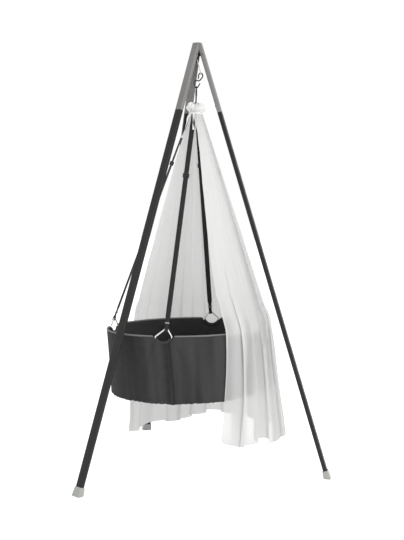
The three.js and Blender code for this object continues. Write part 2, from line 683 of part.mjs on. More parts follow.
// The strap's lower end, sewn back on itself round the ring's crown.
function strapLoop(tangent, up, crown) {
  const inner = RING_WIRE_RADIUS + FIT;
  const outer = inner + WEBBING;
  const loop = new THREE.Shape();
  loop.absarc(0, 0, outer, 0, Math.PI);
  loop.absarc(0, -STRAP_LOOP_SAG, outer, Math.PI, 2 * Math.PI);
  const eye = new THREE.Path();
  eye.absarc(0, 0, inner, Math.PI, 0, true);
  eye.absarc(0, -STRAP_LOOP_SAG, inner, 0, -Math.PI, true);
  loop.holes.push(eye);
  const place = frameAt(up.clone().cross(tangent), up, tangent.clone().negate(), crown);
  const half = STRAP_NARROW_WIDTH / 2;
  return solid(prism(loop, -half, half, 4), place);
}

// A frame that grips the strap, drawn round its middle with the strap along Z.
function strapFrame(width, thickness, length, wall, play) {
  const [w, t] = [width + 2 * play, thickness + 2 * play];
  const outline = roundedRectangle(w + 2 * wall, t + 2 * wall, wall);
  outline.holes.push(new THREE.Path(roundedRectangle(w, t, play / 2).getPoints(1)));
  return solid(prism(outline, -length / 2, length / 2));
}

function strapBuckle() {
  const double = 2 * WEBBING;
  const frame = strapFrame(
    STRAP_WIDTH,
    double,
    BUCKLE_LENGTH,
    BUCKLE_WALL,
    BUCKLE_TRAVEL_PLAY,
  );
  const window = roundedRectangle(
    STRAP_WIDTH - BUCKLE_WALL,
    (BUCKLE_LENGTH - BUCKLE_BAR) / 2 - BUCKLE_WALL,
    BUCKLE_WALL / 3,
  );
  let buckle = frame;
  for (const side of [-1, 1]) {
    const middle = (side * (BUCKLE_BAR + (BUCKLE_LENGTH - BUCKLE_BAR) / 2 - BUCKLE_WALL)) / 2;
    const place = new THREE.Matrix4().makeTranslation(0, 0, middle).multiply(upright);
    buckle = buckle.subtract(solid(prism(window, -CUT, CUT), place));
  }
  return buckle;
}
const buckle = strapBuckle();
const keeper = strapFrame(
  STRAP_NARROW_WIDTH,
  2 * WEBBING,
  KEEPER_LENGTH,
  KEEPER_WALL,
  FIT,
);

// The place of something on a strap, at a share of the way down it.
function onStrap({ tangent, bend, crown }, share) {
  const span = crown.clone().sub(bend);
  const down = span.clone().normalize();
  const across = tangent.clone().addScaledVector(down, -tangent.dot(down)).normalize();
  return frameAt(across, down.clone().cross(across), down, bend.clone().addScaledVector(span, share));
}

for (const corner of Object.keys(CORNERS)) {
  const frame = cornerFrame(corner);
  const length = frame.crown.distanceTo(frame.bend);
  const loopTop = RING_WIRE_RADIUS + FIT + WEBBING;
  const keeperShare = 1 - (KEEPER_ABOVE_RING + loopTop - KEEPER_LENGTH) / length;
  const placed = (name, body, material, matrix) => {
    const mesh = piece(name, body, material, hung);
    mesh.applyMatrix4(matrix);
  };
  const rimRing = solid(closedWire(ringOutline(apexAlong(corner)), RING_WIRE_RADIUS));
  placed(`rim_ring_${corner}`, rimRing, "bright_wire", frame.ring);
  placed(`ring_sleeve_${corner}`, sleeve, "cradle_fabric", frame.ring);
  const buckleShare = BUCKLE_SHARES[corner];
  piece(`strap_${corner}`, strapBody(frame, buckleShare), "webbing", hung);
  placed(`strap_buckle_${corner}`, buckle, "dark_steel", onStrap(frame, buckleShare));
  placed(`strap_keeper_${corner}`, keeper, "bright_wire", onStrap(frame, keeperShare));
}

// Yoke: a disc on the cord, with a slot for each strap.
function strapYoke() {
  const [low, high] = [YOKE_HEIGHT - YOKE_THICKNESS / 2, YOKE_HEIGHT + YOKE_THICKNESS / 2];
  const outline = circle(YOKE_RADIUS);
  const bore = new THREE.Path();
  bore.absarc(0, 0, DROP_CORD_RADIUS + FIT, 0, 2 * Math.PI, true);
  outline.holes.push(bore);
  let yoke = solid(prism(outline, low, high, 10));
  const slot = roundedRectangle(WEBBING + 2 * FIT, STRAP_NARROW_WIDTH + 2 * FIT, FIT);
  for (const corner of Object.keys(CORNERS)) {
    const { slot: middle, outwards } = cornerFrame(corner);
    const place = new THREE.Matrix4()
      .makeTranslation(middle.x, middle.y, 0)
      .multiply(new THREE.Matrix4().makeRotationZ(Math.atan2(outwards.y, outwards.x)));
    yoke = yoke.subtract(solid(prism(slot, low - CUT, high + CUT, 1), place));
  }
  return yoke;
}
piece("strap_yoke", strapYoke(), "dark_steel", hung);

// An oval ring of points, grown or shrunk by a margin.
const OVAL_STEPS = 60;
function oval(halfLength, halfWidth, height, margin = 0) {
  return Array.from({ length: OVAL_STEPS }, (_, k) => {
    const turn = (2 * Math.PI * k) / OVAL_STEPS;
    return at(
      (halfLength + margin) * Math.cos(turn),
      (halfWidth + margin) * Math.sin(turn),
      height,
    );
  });
}

// The cradle's outline at a height: an easy curve from the base oval to the rim oval.
function cradleOval(height, margin) {
  const share = (height - BASE_HEIGHT) / (RIM_HEIGHT - BASE_HEIGHT);
  const eased = share ** WALL_EASE_POWER;
  return oval(
    THREE.MathUtils.lerp(BASE_HALF_LENGTH, RIM_HALF_LENGTH, eased),
    THREE.MathUtils.lerp(BASE_HALF_WIDTH, RIM_HALF_WIDTH, eased),
    height,
    margin,
  );
}

// Sewn fabric tub: a padded wall round a flat floor, with a round bay for each ring.
function cradleBody() {
  const wallHeight = RIM_HEIGHT - BASE_HEIGHT;
  const levelShares = [0.33, 0.67, 1];
  const outer = levelShares.map((share) => cradleOval(BASE_HEIGHT + share * wallHeight, 0));
  const inner = levelShares.map((share) =>
    cradleOval(BASE_HEIGHT + share * wallHeight, -WALL_THICKNESS),
  );
  const floorTop = BASE_HEIGHT + FLOOR_THICKNESS;
  let body = solid(
    loft([
      cradleOval(BASE_HEIGHT, -BASE_EDGE_ROUNDING),
      cradleOval(BASE_HEIGHT + BASE_EDGE_ROUNDING, 0),
      ...outer,
      ...inner.reverse(),
      cradleOval(floorTop, -WALL_THICKNESS - BASE_EDGE_ROUNDING / 2),
    ]),
  );
  for (const corner of Object.keys(CORNERS)) {
    const { ring } = cornerFrame(corner);
    const place = ring.clone().multiply(new THREE.Matrix4().makeTranslation(0, bellyCentre, 0));
    const bay = prism(circle(bellyRadius + SLEEVE_RADIUS + FIT), -CUT / 2, CUT / 2, 12);
    body = body.subtract(solid(bay, place));
  }
  return body;
}
piece("cradle_body", cradleBody(), "cradle_fabric", hung);

// Piping along the rim, one length between each two rings.
function rimPiping(from, to) {
  const bay = bellyRadius + SLEEVE_RADIUS + 2 * FIT + PIPING_RADIUS;
  const midWall = WALL_THICKNESS / 2;
  const [a, b] = [RIM_HALF_LENGTH - midWall, RIM_HALF_WIDTH - midWall];
  const clear = (angle) => {
    const speed = Math.hypot(a * Math.sin(angle), b * Math.cos(angle));
    return Math.sqrt(bay ** 2 - bellyCentre ** 2) / speed;
  };
  const [start, end] = [rad(from) + clear(rad(from)), rad(to) - clear(rad(to))];
  const height = RIM_HEIGHT + FIT + PIPING_RADIUS;
  const steps = 16;
  const points = Array.from({ length: steps + 1 }, (_, k) => {
    const turn = THREE.MathUtils.lerp(start, end, k / steps);
    return at(a * Math.cos(turn), b * Math.sin(turn), height);
  });
  return solid(tube(new THREE.CatmullRomCurve3(points), PIPING_RADIUS, steps, 6));
}
const halfTurn = 180;
const pipingSpans = {
  foot: [-ringAngles.right, ringAngles.back],
  back: [ringAngles.back, halfTurn - ringAngles.left],
  head: [halfTurn - ringAngles.left, halfTurn + ringAngles.front],
  front: [halfTurn + ringAngles.front, 2 * halfTurn - ringAngles.right],
};
for (const [stretch, [from, to]] of Object.entries(pipingSpans)) {
  piece(`rim_piping_${stretch}`, rimPiping(from, to), "piping", hung);
}

// Stiff board on the fabric floor, and the mattress on the board.
const boardLow = BASE_HEIGHT + FLOOR_THICKNESS + FIT;
const boardHigh = boardLow + BOARD_THICKNESS;
const boardInset = -WALL_THICKNESS - BOARD_MARGIN;
piece(
  "base_board",
  solid(loft([cradleOval(boardLow, boardInset), cradleOval(boardHigh, boardInset)])),
  "board",
  hung,
);

function mattress() {
  const low = boardHigh + FIT;
  const high = low + MATTRESS_THICKNESS;
  const inset = -WALL_THICKNESS - MATTRESS_MARGIN;
  const edge = MATTRESS_EDGE;
  return solid(
    loft([
      cradleOval(low, inset - edge),
      cradleOval(low + edge, inset),
      cradleOval(high - edge, inset),
      cradleOval(high - edge / 3, inset - edge / 3),
      cradleOval(high, inset - edge),
    ]),
  );
}
piece("mattress", mattress(), "mattress_cover", hung);

// Veil: a pleated curtain from the neck over the rim, open on one long side.
function veil() {
  const quarterShares = [0, 0.25, 0.5, 0.75];
  const heightShares = [0, 0.06, 0.2, 0.4, 0.6, 0.8, 1];
  const rimBand = RIM_HEIGHT + PIPING_RADIUS;
  const point = ({ share, swell }, height, hemShare, thickness) => {
    const azimuth = rad(THREE.MathUtils.lerp(VEIL_FROM_AZIMUTH, VEIL_TO_AZIMUTH, share) - CRADLE_YAW);
    const rimRadius =
      (RIM_HALF_LENGTH * RIM_HALF_WIDTH) /
      Math.hypot(RIM_HALF_WIDTH * Math.cos(azimuth), RIM_HALF_LENGTH * Math.sin(azimuth));
    const drop = (VEIL_NECK_HEIGHT - Math.max(height, rimBand)) / (VEIL_NECK_HEIGHT - rimBand);
    const below = Math.max(rimBand - height, 0) / rimBand;
    const pleat = THREE.MathUtils.lerp(VEIL_RIM_PLEAT * drop, VEIL_HEM_PLEAT, below);
    const flare = THREE.MathUtils.lerp(VEIL_FRONT_FLARE, VEIL_BACK_FLARE, share);
    const radius =
      THREE.MathUtils.lerp(VEIL_NECK_RADIUS, rimRadius + VEIL_OVER_RIM, drop) +
      flare * below +
      pleat * swell +
      thickness;
    const lift = VEIL_HEM_RISE * hemShare * Math.sin(2 * Math.PI * share * 2);
    return at(radius * Math.cos(azimuth), radius * Math.sin(azimuth), height + lift);
  };
  const levels = [
    ...heightShares.map((share) => THREE.MathUtils.lerp(VEIL_NECK_HEIGHT, rimBand, share)),
    ...heightShares.slice(2).map((share) => THREE.MathUtils.lerp(rimBand, VEIL_HEM_HEIGHT, share)),
  ];
  const columns = [];
  let start = 0;
  for (const width of PLEAT_WIDTH_SHARES) {
    for (const quarter of quarterShares) {
      const swell = (1 - Math.cos(2 * Math.PI * quarter)) / 2;
      columns.push({ share: start + width * quarter, swell });
    }
    start += width;
  }
  columns.push({ share: start, swell: 0 });
  const ring = (column) => {
    const side = (thickness) =>
      levels.map((height) =>
        point(column, height, Math.max(rimBand - height, 0) / rimBand, thickness),
      );
    return [...side(VEIL_THICKNESS), ...side(0).reverse()];
  };
  return solid(loft(columns.map(ring)));
}
piece("veil", veil(), "veil_gauze", hung);

// Gathered frill: a cap with a hole for the cord, pleated round its skirt.
function veilRuffle() {
  const columns = 40;
  const waves = 10;
  const top = YOKE_HEIGHT + YOKE_THICKNESS / 2 + STRAP_HEM + 2 * FIT;
  const low = VEIL_NECK_HEIGHT - VEIL_TUCK;
  const skirt = RUFFLE_INNER;
  const bore = DROP_CORD_RADIUS + FIT;
  const ring = (column) => {
    const turn = (2 * Math.PI * column) / columns;
    const wave = (RUFFLE_WAVE * (1 + Math.cos(waves * turn))) / 2;
    const profile = [
      [bore, top],
      [RUFFLE_TOP_RADIUS, top],
      [skirt, VEIL_NECK_HEIGHT + STRAP_TAPER],
      [skirt, low],
      [skirt + RUFFLE_SKIN + wave, low],
      [skirt + RUFFLE_SKIN + wave, VEIL_NECK_HEIGHT + STRAP_TAPER],
      [RUFFLE_TOP_RADIUS + RUFFLE_SKIN, top + RUFFLE_SKIN],
      [bore, top + RUFFLE_SKIN],
    ];
    return profile.map(([r, z]) => at(r * Math.cos(turn), r * Math.sin(turn), z));
  };
  return solid(loft(Array.from({ length: columns }, (_, column) => ring(column)), true));
}
piece("veil_ruffle", veilRuffle(), "veil_gauze", hung);

// The ends of the tie hang from the neck on the open side.
function tieRibbon(azimuth, length, sway) {
  const radius = RUFFLE_OUTER + FIT + RIBBON_THICKNESS / 2;
  const top = VEIL_NECK_HEIGHT;
  const place = new THREE.Matrix4().makeRotationZ(rad(azimuth));
  const section = (share) => {
    const out = radius + sway * share ** 2;
    const height = top - length * share;
    const [w, t] = [RIBBON_WIDTH / 2, RIBBON_THICKNESS / 2];
    return [[-t, -w], [t, -w], [t, w], [-t, w]].map(([x, y]) => at(out + x, y, height));
  };
  const lengthShares = [0, 0.25, 0.5, 0.75, 1];
  return solid(loft(lengthShares.map(section)), place);
}
const longRibbon = tieRibbon(RIBBON_LONG_AZIMUTH, RIBBON_LONG, RIBBON_WIDTH);
const shortRibbon = tieRibbon(RIBBON_SHORT_AZIMUTH, RIBBON_SHORT, 0);
piece("veil_ribbon_long", longRibbon, "veil_gauze", hung);
piece("veil_ribbon_short", shortRibbon, "veil_gauze", hung);

// The origin is on the floor, under the middle of the whole object's outline.
const cradleOnStand = new THREE.Group();
cradleOnStand.add(stand);
cradleOnStand.updateMatrixWorld(true);
const middle = new THREE.Box3().setFromObject(stand, true).getCenter(at(0, 0, 0));
stand.position.set(-middle.x, -middle.y, 0);

export default cradleOnStand;
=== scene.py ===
import json
import math

import bmesh
import bpy
from mathutils import Matrix, Vector, noise


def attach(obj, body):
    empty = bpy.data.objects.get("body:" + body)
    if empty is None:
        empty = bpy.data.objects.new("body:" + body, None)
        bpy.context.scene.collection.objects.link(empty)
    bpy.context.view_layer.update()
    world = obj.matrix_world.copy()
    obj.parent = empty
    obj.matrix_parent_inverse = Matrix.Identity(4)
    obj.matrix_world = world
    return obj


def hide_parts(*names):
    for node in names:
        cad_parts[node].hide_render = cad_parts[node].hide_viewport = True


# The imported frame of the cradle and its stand. All places start from the plumb line that the
# cradle turns on.
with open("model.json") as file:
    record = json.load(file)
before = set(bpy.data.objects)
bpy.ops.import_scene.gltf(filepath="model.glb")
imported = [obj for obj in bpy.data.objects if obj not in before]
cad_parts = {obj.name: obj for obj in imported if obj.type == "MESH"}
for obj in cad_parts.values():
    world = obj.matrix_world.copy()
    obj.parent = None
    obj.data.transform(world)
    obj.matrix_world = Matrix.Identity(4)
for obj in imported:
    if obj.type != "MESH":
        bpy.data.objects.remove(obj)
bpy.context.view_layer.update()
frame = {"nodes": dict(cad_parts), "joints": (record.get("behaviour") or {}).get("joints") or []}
turning = next(joint for joint in frame["joints"] if joint["name"] == "cradle_turn")
plumb = Vector((*turning["pos_m"][:2], 0))
scene = bpy.context.scene
scene.view_settings.view_transform = "Standard"

# Camera
# A short telephoto view at chest height, tipped down a little, from the veil's open side.
# The focal length and the centre are in pixels of a picture 404 wide and 540 high.
PICTURE_WIDTH = 404
PICTURE_HEIGHT = 540
FOCAL_PIXELS = 985.95
CENTRE_PIXEL_X = 190.73
CENTRE_PIXEL_Y = 268.24
CAMERA_PLACE = (0, -4.1751, 1.2392)
VIEW_TURN = math.radians(-18.283)
VIEW_TILT = math.radians(5.240)
VIEW_ROLL = math.radians(1.8105)
SENSOR_HEIGHT = 36

lens = bpy.data.cameras.new("camera")
lens.sensor_fit = "VERTICAL"
lens.sensor_height = SENSOR_HEIGHT
lens.lens = FOCAL_PIXELS * SENSOR_HEIGHT / PICTURE_HEIGHT
lens.shift_x = (PICTURE_WIDTH / 2 - CENTRE_PIXEL_X) / PICTURE_HEIGHT
lens.shift_y = (CENTRE_PIXEL_Y - PICTURE_HEIGHT / 2) / PICTURE_HEIGHT
camera = bpy.data.objects.new("camera", lens)
scene.collection.objects.link(camera)
view = Matrix.Translation(plumb) @ Matrix.Rotation(VIEW_TURN, 4, "Z")
camera.matrix_world = (
    view
    @ Matrix.Translation(CAMERA_PLACE)
    @ Matrix.Rotation(math.pi / 2 - VIEW_TILT, 4, "X")
    @ Matrix.Rotation(VIEW_ROLL, 4, "Z")
)
scene.camera = camera

# Floor and light
# A white studio floor that keeps the shadows, a white room, one large soft lamp to the front
# right and a weak one to the left. A lamp has its power and its place across the view, along
# it and up.
FLOOR_SIZE = 30
FLOOR_WHITE = (0.86, 0.86, 0.86, 1)
FLOOR_GLOW = 0.58
WHITE = (1, 1, 1, 1)
ROOM_LIGHT = 0.88
LAMPS = {"key_lamp": (65, (2.2, -2.4, 2.3)), "fill_lamp": (6, (-3, -1.8, 1.6))}
LAMP_SIZE = 2.6
LAMP_AIM = plumb + Vector((0, 0, 0.8))


def feed(tree, node, inputs):
    """Gives each input of a node a value or another node's socket."""
    for socket, value in inputs.items():
        if isinstance(value, bpy.types.NodeSocket):
            tree.links.new(value, node.inputs[socket])
        else:
            node.inputs[socket].default_value = value


def add(tree, kind, inputs=None, **settings):
    """A shader node with its settings and its inputs."""
    made = tree.nodes.new(kind)
    for name, value in settings.items():
        setattr(made, name, value)
    feed(tree, made, inputs or {})
    return made


def maths(tree, operation, first, second=0.0, third=0.0):
    """The result of one Math node."""
    inputs = {0: first, 1: second, 2: third}
    return add(tree, "ShaderNodeMath", inputs, operation=operation).outputs[0]


def rays(tree, *kinds):
    """One on light rays of these kinds, and zero on others."""
    path = add(tree, "ShaderNodeLightPath")
    found = 0.0
    for kind in kinds:
        found = maths(tree, "MAXIMUM", path.outputs[f"Is {kind} Ray"], found)
    return found


def plain_material(name, inputs=None):
    """A new material with values on its surface shader, its tree and that shader."""
    material = bpy.data.materials.new(name)
    material.use_nodes = True
    surface = material.node_tree.nodes["Principled BSDF"]
    feed(material.node_tree, surface, inputs or {})
    return material, material.node_tree, surface


def new_object(name, bm):
    """A mesh object made of a finished bmesh, with smooth shading."""
    mesh = bpy.data.meshes.new(name)
    bm.to_mesh(mesh)
    bm.free()
    mesh.shade_smooth()
    made = bpy.data.objects.new(name, mesh)
    scene.collection.objects.link(made)
    return made


# White paper: lit as a matt surface, with a glow that only the camera and mirrored rays see.
matt_white = {"Base Color": FLOOR_WHITE, "Roughness": 1, "Specular IOR Level": 0}
paper, paper_tree, paper_surface = plain_material("studio_floor", matt_white)
glow = maths(paper_tree, "MULTIPLY", rays(paper_tree, "Camera", "Glossy"), FLOOR_GLOW)
feed(paper_tree, paper_surface, {"Emission Color": WHITE, "Emission Strength": glow})
floor_mesh = bmesh.new()
bmesh.ops.create_grid(floor_mesh, x_segments=1, y_segments=1, size=FLOOR_SIZE / 2)
floor = new_object("studio_floor", floor_mesh)
floor.data.materials.append(paper)

world = bpy.data.worlds.new("white_room")
world.use_nodes = True
scene.world = world
room = world.node_tree
extra = maths(room, "MULTIPLY", rays(room, "Camera", "Glossy", "Transmission"), 1 - ROOM_LIGHT)
room_light = maths(room, "ADD", extra, ROOM_LIGHT)
feed(room, room.nodes["Background"], {"Color": WHITE, "Strength": room_light})
for name, (power, place) in LAMPS.items():
    lamp = bpy.data.lights.new(name, "AREA")
    lamp.energy = power
    lamp.size = LAMP_SIZE
    hung = bpy.data.objects.new(name, lamp)
    hung.location = view @ Vector(place)
    hung.rotation_euler = (LAMP_AIM - hung.location).to_track_quat("-Z", "Y").to_euler()
    scene.collection.objects.link(hung)

# Stand legs
# Three folding legs of rectangular steel tube, 33 by 17.5 mm: a warm grey upper piece with a
# mitred top and a charcoal lower one that plugs into it, held by a socket screw.
GREY_PAINT = (0.200, 0.194, 0.188)
CHARCOAL_PAINT = (0.0105, 0.0101, 0.0097)
LEG_EDGE = 0.0016
LEG_SIDES = ("front_left", "right", "back")
SHARP_ANGLE = math.radians(40)
FLAT_ANGLE = math.radians(0.5)


def group(name, inputs, outputs):
    """An empty shader group: its tree, the sockets that it is given, and its output node."""
    tree = bpy.data.node_groups.new(name, "ShaderNodeTree")
    for way, sockets in (("INPUT", inputs), ("OUTPUT", outputs)):
        for socket, kind in sockets.items():
            tree.interface.new_socket(socket, in_out=way, socket_type=f"NodeSocket{kind}")
    return tree, tree.nodes.new("NodeGroupInput").outputs, tree.nodes.new("NodeGroupOutput")


def noise_mask(tree, place, scale, low=0.0, high=1.0, detail=3.0):
    """A noise pattern brought to a range of values."""
    grain = add(tree, "ShaderNodeTexNoise", {"Vector": place, "Scale": scale, "Detail": detail})
    spread = {"Value": grain.outputs["Fac"], "From Min": 0.3, "From Max": 0.7}
    spread.update({"To Min": low, "To Max": high})
    return add(tree, "ShaderNodeMapRange", spread).outputs["Result"]


def mixed(tree, share, first, second):
    """Two colours mixed by a share."""
    made = add(tree, "ShaderNodeMix", {0: share, 6: first, 7: second}, data_type="RGBA")
    return made.outputs[2]


def coating_group():
    """Uneven tone, polish and orange peel of a sprayed or moulded surface."""
    inputs = {"Vector": "Vector", "Colour": "Color", "Dull Colour": "Color", "Grain": "Float"}
    outputs = {"Colour": "Color", "Roughness": "Float", "Height": "Float"}
    tree, given, made = group("coating", inputs, outputs)
    clouds = noise_mask(tree, given["Vector"], 7.0)
    specks = noise_mask(tree, given["Vector"], given["Grain"], detail=2.0)
    smudges = noise_mask(tree, given["Vector"], 31.0, 0.34, 0.52)
    tone = maths(tree, "MULTIPLY", clouds, maths(tree, "ADD", specks, 0.4))
    colour = mixed(tree, tone, given["Colour"], given["Dull Colour"])
    feed(tree, made, {"Colour": colour, "Roughness": smudges, "Height": specks})
    return tree


COATING = coating_group()


def own_space(tree):
    """The piece's own coordinates."""
    return add(tree, "ShaderNodeTexCoord").outputs["Object"]


def bump(tree, surface, height, depth):
    """Relief of a depth in metres on a surface."""
    relief = add(tree, "ShaderNodeBump", {"Height": height, "Distance": depth, "Strength": 1.0})
    tree.links.new(relief.outputs[0], surface.inputs["Normal"])


def coated(name, colour, dull=0.82, grain=900.0, peel=0.00002, metallic=0.0, specular=0.5):
    """Paint or plastic with uneven tone and a fine grain."""
    given = {"Metallic": metallic, "Specular IOR Level": specular}
    material, tree, surface = plain_material(name, given)
    dulled = tuple(part * dull for part in colour)
    given = {"Colour": (*colour, 1), "Dull Colour": (*dulled, 1), "Grain": grain}
    given["Vector"] = own_space(tree)
    coat = add(tree, "ShaderNodeGroup", given, node_tree=COATING).outputs
    feed(tree, surface, {"Base Color": coat["Colour"], "Roughness": coat["Roughness"]})
    bump(tree, surface, coat["Height"], peel)
    return material


def finish_piece(piece, material, slot, body, *replaced):
    """Gives a piece its material and its body, and hides the nodes it stands for. The slot is not
    used.
    """
    piece.data.materials.clear()
    piece.data.materials.append(material)
    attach(piece, body)
    if replaced:
        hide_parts(*replaced)


def refined(node, name, edge, segments=2):
    """A copy of a node with its corners rounded and its curved faces shaded smooth."""
    bm = bmesh.new()
    bm.from_mesh(frame["nodes"][node].data)
    bmesh.ops.remove_doubles(bm, verts=bm.verts, dist=1e-6)
    bmesh.ops.dissolve_limit(bm, angle_limit=FLAT_ANGLE, verts=bm.verts, edges=bm.edges)
    made = new_object(name, bm)
    made.data.set_sharp_from_angle(angle=SHARP_ANGLE)
    rounding = made.modifiers.new("rounded_edges", "BEVEL")
    rounding.width = edge
    rounding.segments = segments
    rounding.limit_method = "ANGLE"
    rounding.angle_limit = SHARP_ANGLE
    rounding.use_clamp_overlap = True
    shading = made.modifiers.new("even_shading", "WEIGHTED_NORMAL")
    shading.keep_sharp = False
    return made


grey_paint = coated("grey_paint", GREY_PAINT)
charcoal_paint = coated("charcoal_paint", CHARCOAL_PAINT, specular=0.3)
for side in LEG_SIDES:
    upper = refined(f"leg_upper_{side}", f"upper_leg_{side}", LEG_EDGE)
    finish_piece(upper, grey_paint, "grey_paint", f"leg_{side}", f"leg_upper_{side}")
    lower = refined(f"leg_lower_{side}", f"lower_leg_{side}", LEG_EDGE)
    finish_piece(lower, charcoal_paint, "charcoal_paint", f"leg_{side}", f"leg_lower_{side}")

# Feet, joint screws and hinge pins
# Light plastic caps on the leg ends, black socket screws through the joints, and steel pins
# through the head's lugs.
FOOT_PLASTIC = (0.38, 0.395, 0.37)
BLACK_STEEL = (0.030, 0.030, 0.031)
FOOT_EDGE = 0.0012
SCREW_EDGE = 0.0003
foot_plastic = coated("foot_plastic", FOOT_PLASTIC, dull=0.9, grain=1500.0, peel=0.00001)
black_steel = coated("black_steel", BLACK_STEEL, dull=0.6, grain=1800.0, metallic=0.35)
for side in LEG_SIDES:
    foot = refined(f"leg_foot_{side}", f"foot_cap_{side}", FOOT_EDGE, segments=3)
    finish_piece(foot, foot_plastic, "foot_plastic", f"leg_{side}", f"leg_foot_{side}")
    screw = refined(f"leg_screw_{side}", f"joint_screw_{side}", SCREW_EDGE)
    finish_piece(screw, black_steel, "dark_steel", f"leg_{side}", f"leg_screw_{side}")
    pin = refined(f"leg_hinge_pin_{side}", f"hinge_pin_{side}", SCREW_EDGE)
    finish_piece(pin, black_steel, "dark_steel", "head", f"leg_hinge_pin_{side}")

# Head bracket
# A cast boss inside the top of the stand: one lug into each leg and a holed tongue below.
END_EDGE = 0.0004
bracket = refined("head_bracket", "cast_bracket", END_EDGE)
finish_piece(bracket, black_steel, "dark_steel", "head", "head_bracket")

# Hanging chain
# A white cord sling through the tongue, an S-hook of bent wire in the sling, and a black cord
# with a spliced eye on the hook. All three hang in one plane, where their places are given.
UP = Vector((0, 0, 1))
HANG_TURN = math.radians(-18.3)
SLING_RADIUS = 0.002
SLING_TOP = 1.7282
SLING_BEND = 0.0068
SLING_SEAT = 0.0013
BEND_STEPS = 13
HOOK_WIRE = 0.0026
HOOK_TOP = 1.676
HOOK_TOP_OFFSET = 0.016
HOOK_BOTTOM = 1.614
HOOK_UPPER_WIDTH = 0.0086
HOOK_LOWER_WIDTH = 0.0106
HOOK_UPPER_SHARES = (
    (-1.02, 0.58), (-1, 0.76), (-0.8, 0.91), (0, 1), (0.8, 0.92), (1, 0.78), (0.35, 0.62),
    (-0.75, 0.47),
)
HOOK_LOWER_SHARES = (
    (-0.25, 0.5), (-0.95, 0.4), (-0.8, 0.17), (-0.42, 0.03), (0, 0), (0.42, 0.03),
    (0.85, 0.15), (1.35, 0.33),
)
HOOK_STEPS = 7
WIRE_END = 0.55
WIRE_END_SLOPE = 14
DROP_RADIUS = 0.003
DROP_EYE_CORD = 0.0024
DROP_EYE_RADIUS = 0.0064
DROP_EYE_SEAT = 0.0009
SPLICE_SWELL = 0.28
SPLICE_FROM = 0.55
SPLICE_RUN = 0.15
SPLICE_TO = 0.97
EYE_STEPS = 28
SHAFT_STEPS = 8
KNOT_RADIUS = 0.007
KNOT_COIL_SHARE = 0.62
KNOT_CORD_SHARE = 0.38
KNOT_TURNS = 3
KNOT_STEPS = 48
YOKE_HEIGHT = 1.543
YOKE_THICKNESS = 0.008
FIT = 0.0003
WHITE_CORD = (0.80, 0.79, 0.77, 1)
WHITE_FLECK = (0.6, 0.59, 0.57, 1)
BLACK_CORD = (0.020, 0.020, 0.021, 1)
BLACK_FLECK = (0.06, 0.06, 0.06, 1)


def clamp(value):
    """A value kept between nothing and one."""
    return min(max(value, 0), 1)


def chain_lengths(points):
    """How far each point is along a row of them."""
    lengths = [0.0]
    for before, after in zip(points, points[1:]):
        lengths.append(lengths[-1] + (after - before).length)
    return lengths


def grid(across, along, *marks):
    """A flat grid, the column and row of each corner, its UV map's layer and its marks' layers."""
    bm = bmesh.new()
    bmesh.ops.create_grid(bm, x_segments=across, y_segments=along, size=0.5)
    chart = bm.loops.layers.uv.new("metres")
    layers = [bm.verts.layers.float.new(mark) for mark in marks]
    places = {}
    for vert in bm.verts:
        places[vert] = (round((vert.co.x + 0.5) * across), round((vert.co.y + 0.5) * along))
    return bm, places, chart, layers


def lay_chart(bm, places, chart, widths, heights):
    """Fills the UV map with the widths of the columns and the heights of the rows."""
    for face in bm.faces:
        for loop in face.loops:
            column, row = places[loop.vert]
            loop[chart].uv = (widths[column], heights[row])


def skin(name, place, rows, ring=False, caps=True, chart_row=0, shares=None, folds=None):
    """A grid pulled over rows of points, each row a closed loop; its UV map is in metres.

    The rows are in the frame of the place. The map's width comes from one chosen row. The
    shares are a value for each row and the folds one for each point, painted light and shade,
    which the piece's material can read.
    """
    across = len(rows[0])
    along = len(rows) if ring else len(rows) - 1
    bm, places, chart, (marks, fold_shade_layer) = grid(across, along, "share", "fold")
    girths = chain_lengths([*rows[chart_row], rows[chart_row][0]])
    lay_chart(bm, places, chart, girths, chain_lengths([row[0] for row in (*rows, rows[0])]))
    for vert, (column, row) in places.items():
        row %= len(rows)
        vert.co = place @ rows[row][column % across]
        vert[marks] = shares[row] if shares else 0.0
        vert[fold_shade_layer] = folds[row][column % across] if folds else 1.0
    bmesh.ops.remove_doubles(bm, verts=bm.verts, dist=1e-7)
    if caps and not ring:
        bmesh.ops.holes_fill(bm, edges=bm.edges, sides=0)
    bmesh.ops.recalc_face_normals(bm, faces=bm.faces)
    return new_object(name, bm)


def smooth_route(points, steps):
    """A centripetal curve through hand-set points, cut into even steps."""
    ends = [2 * points[0] - points[1], *points, 2 * points[-1] - points[-2]]
    route = []
    for a, b, c, d in zip(ends, ends[1:], ends[2:], ends[3:]):
        t1 = (b - a).length ** 0.5
        t2 = t1 + (c - b).length ** 0.5
        t3 = t2 + (d - c).length ** 0.5
        for step in range(steps):
            t = t1 + (t2 - t1) * step / steps
            ab = a.lerp(b, t / t1)
            bc = b.lerp(c, step / steps)
            cd = c.lerp(d, (t - t2) / (t3 - t2))
            abc = ab.lerp(bc, t / t2)
            bcd = bc.lerp(cd, (t - t1) / (t3 - t1))
            route.append(abc.lerp(bcd, step / steps))
    return [*route, points[-1]]


def round_bar(name, place, route, radius, flat_side, sides=14, closed=False, taper=None):
    """A round wire or cord along a route; flat_side is a direction that it never runs in."""
    rows = []
    last = len(route) - 1
    for step, point in enumerate(route):
        before = route[step - 1] if closed or step else point
        after = route[(step + 1) % len(route)] if closed or step < last else point
        ahead = (after - before).normalized()
        out = ahead.cross(flat_side).normalized()
        up = out.cross(ahead)
        thick = radius * (taper(step / last) if taper else 1)
        turns = (2 * math.pi * side / sides for side in range(sides))
        rows.append([point + thick * (math.cos(t) * out + math.sin(t) * up) for t in turns])
    return skin(name, place, rows, ring=closed)


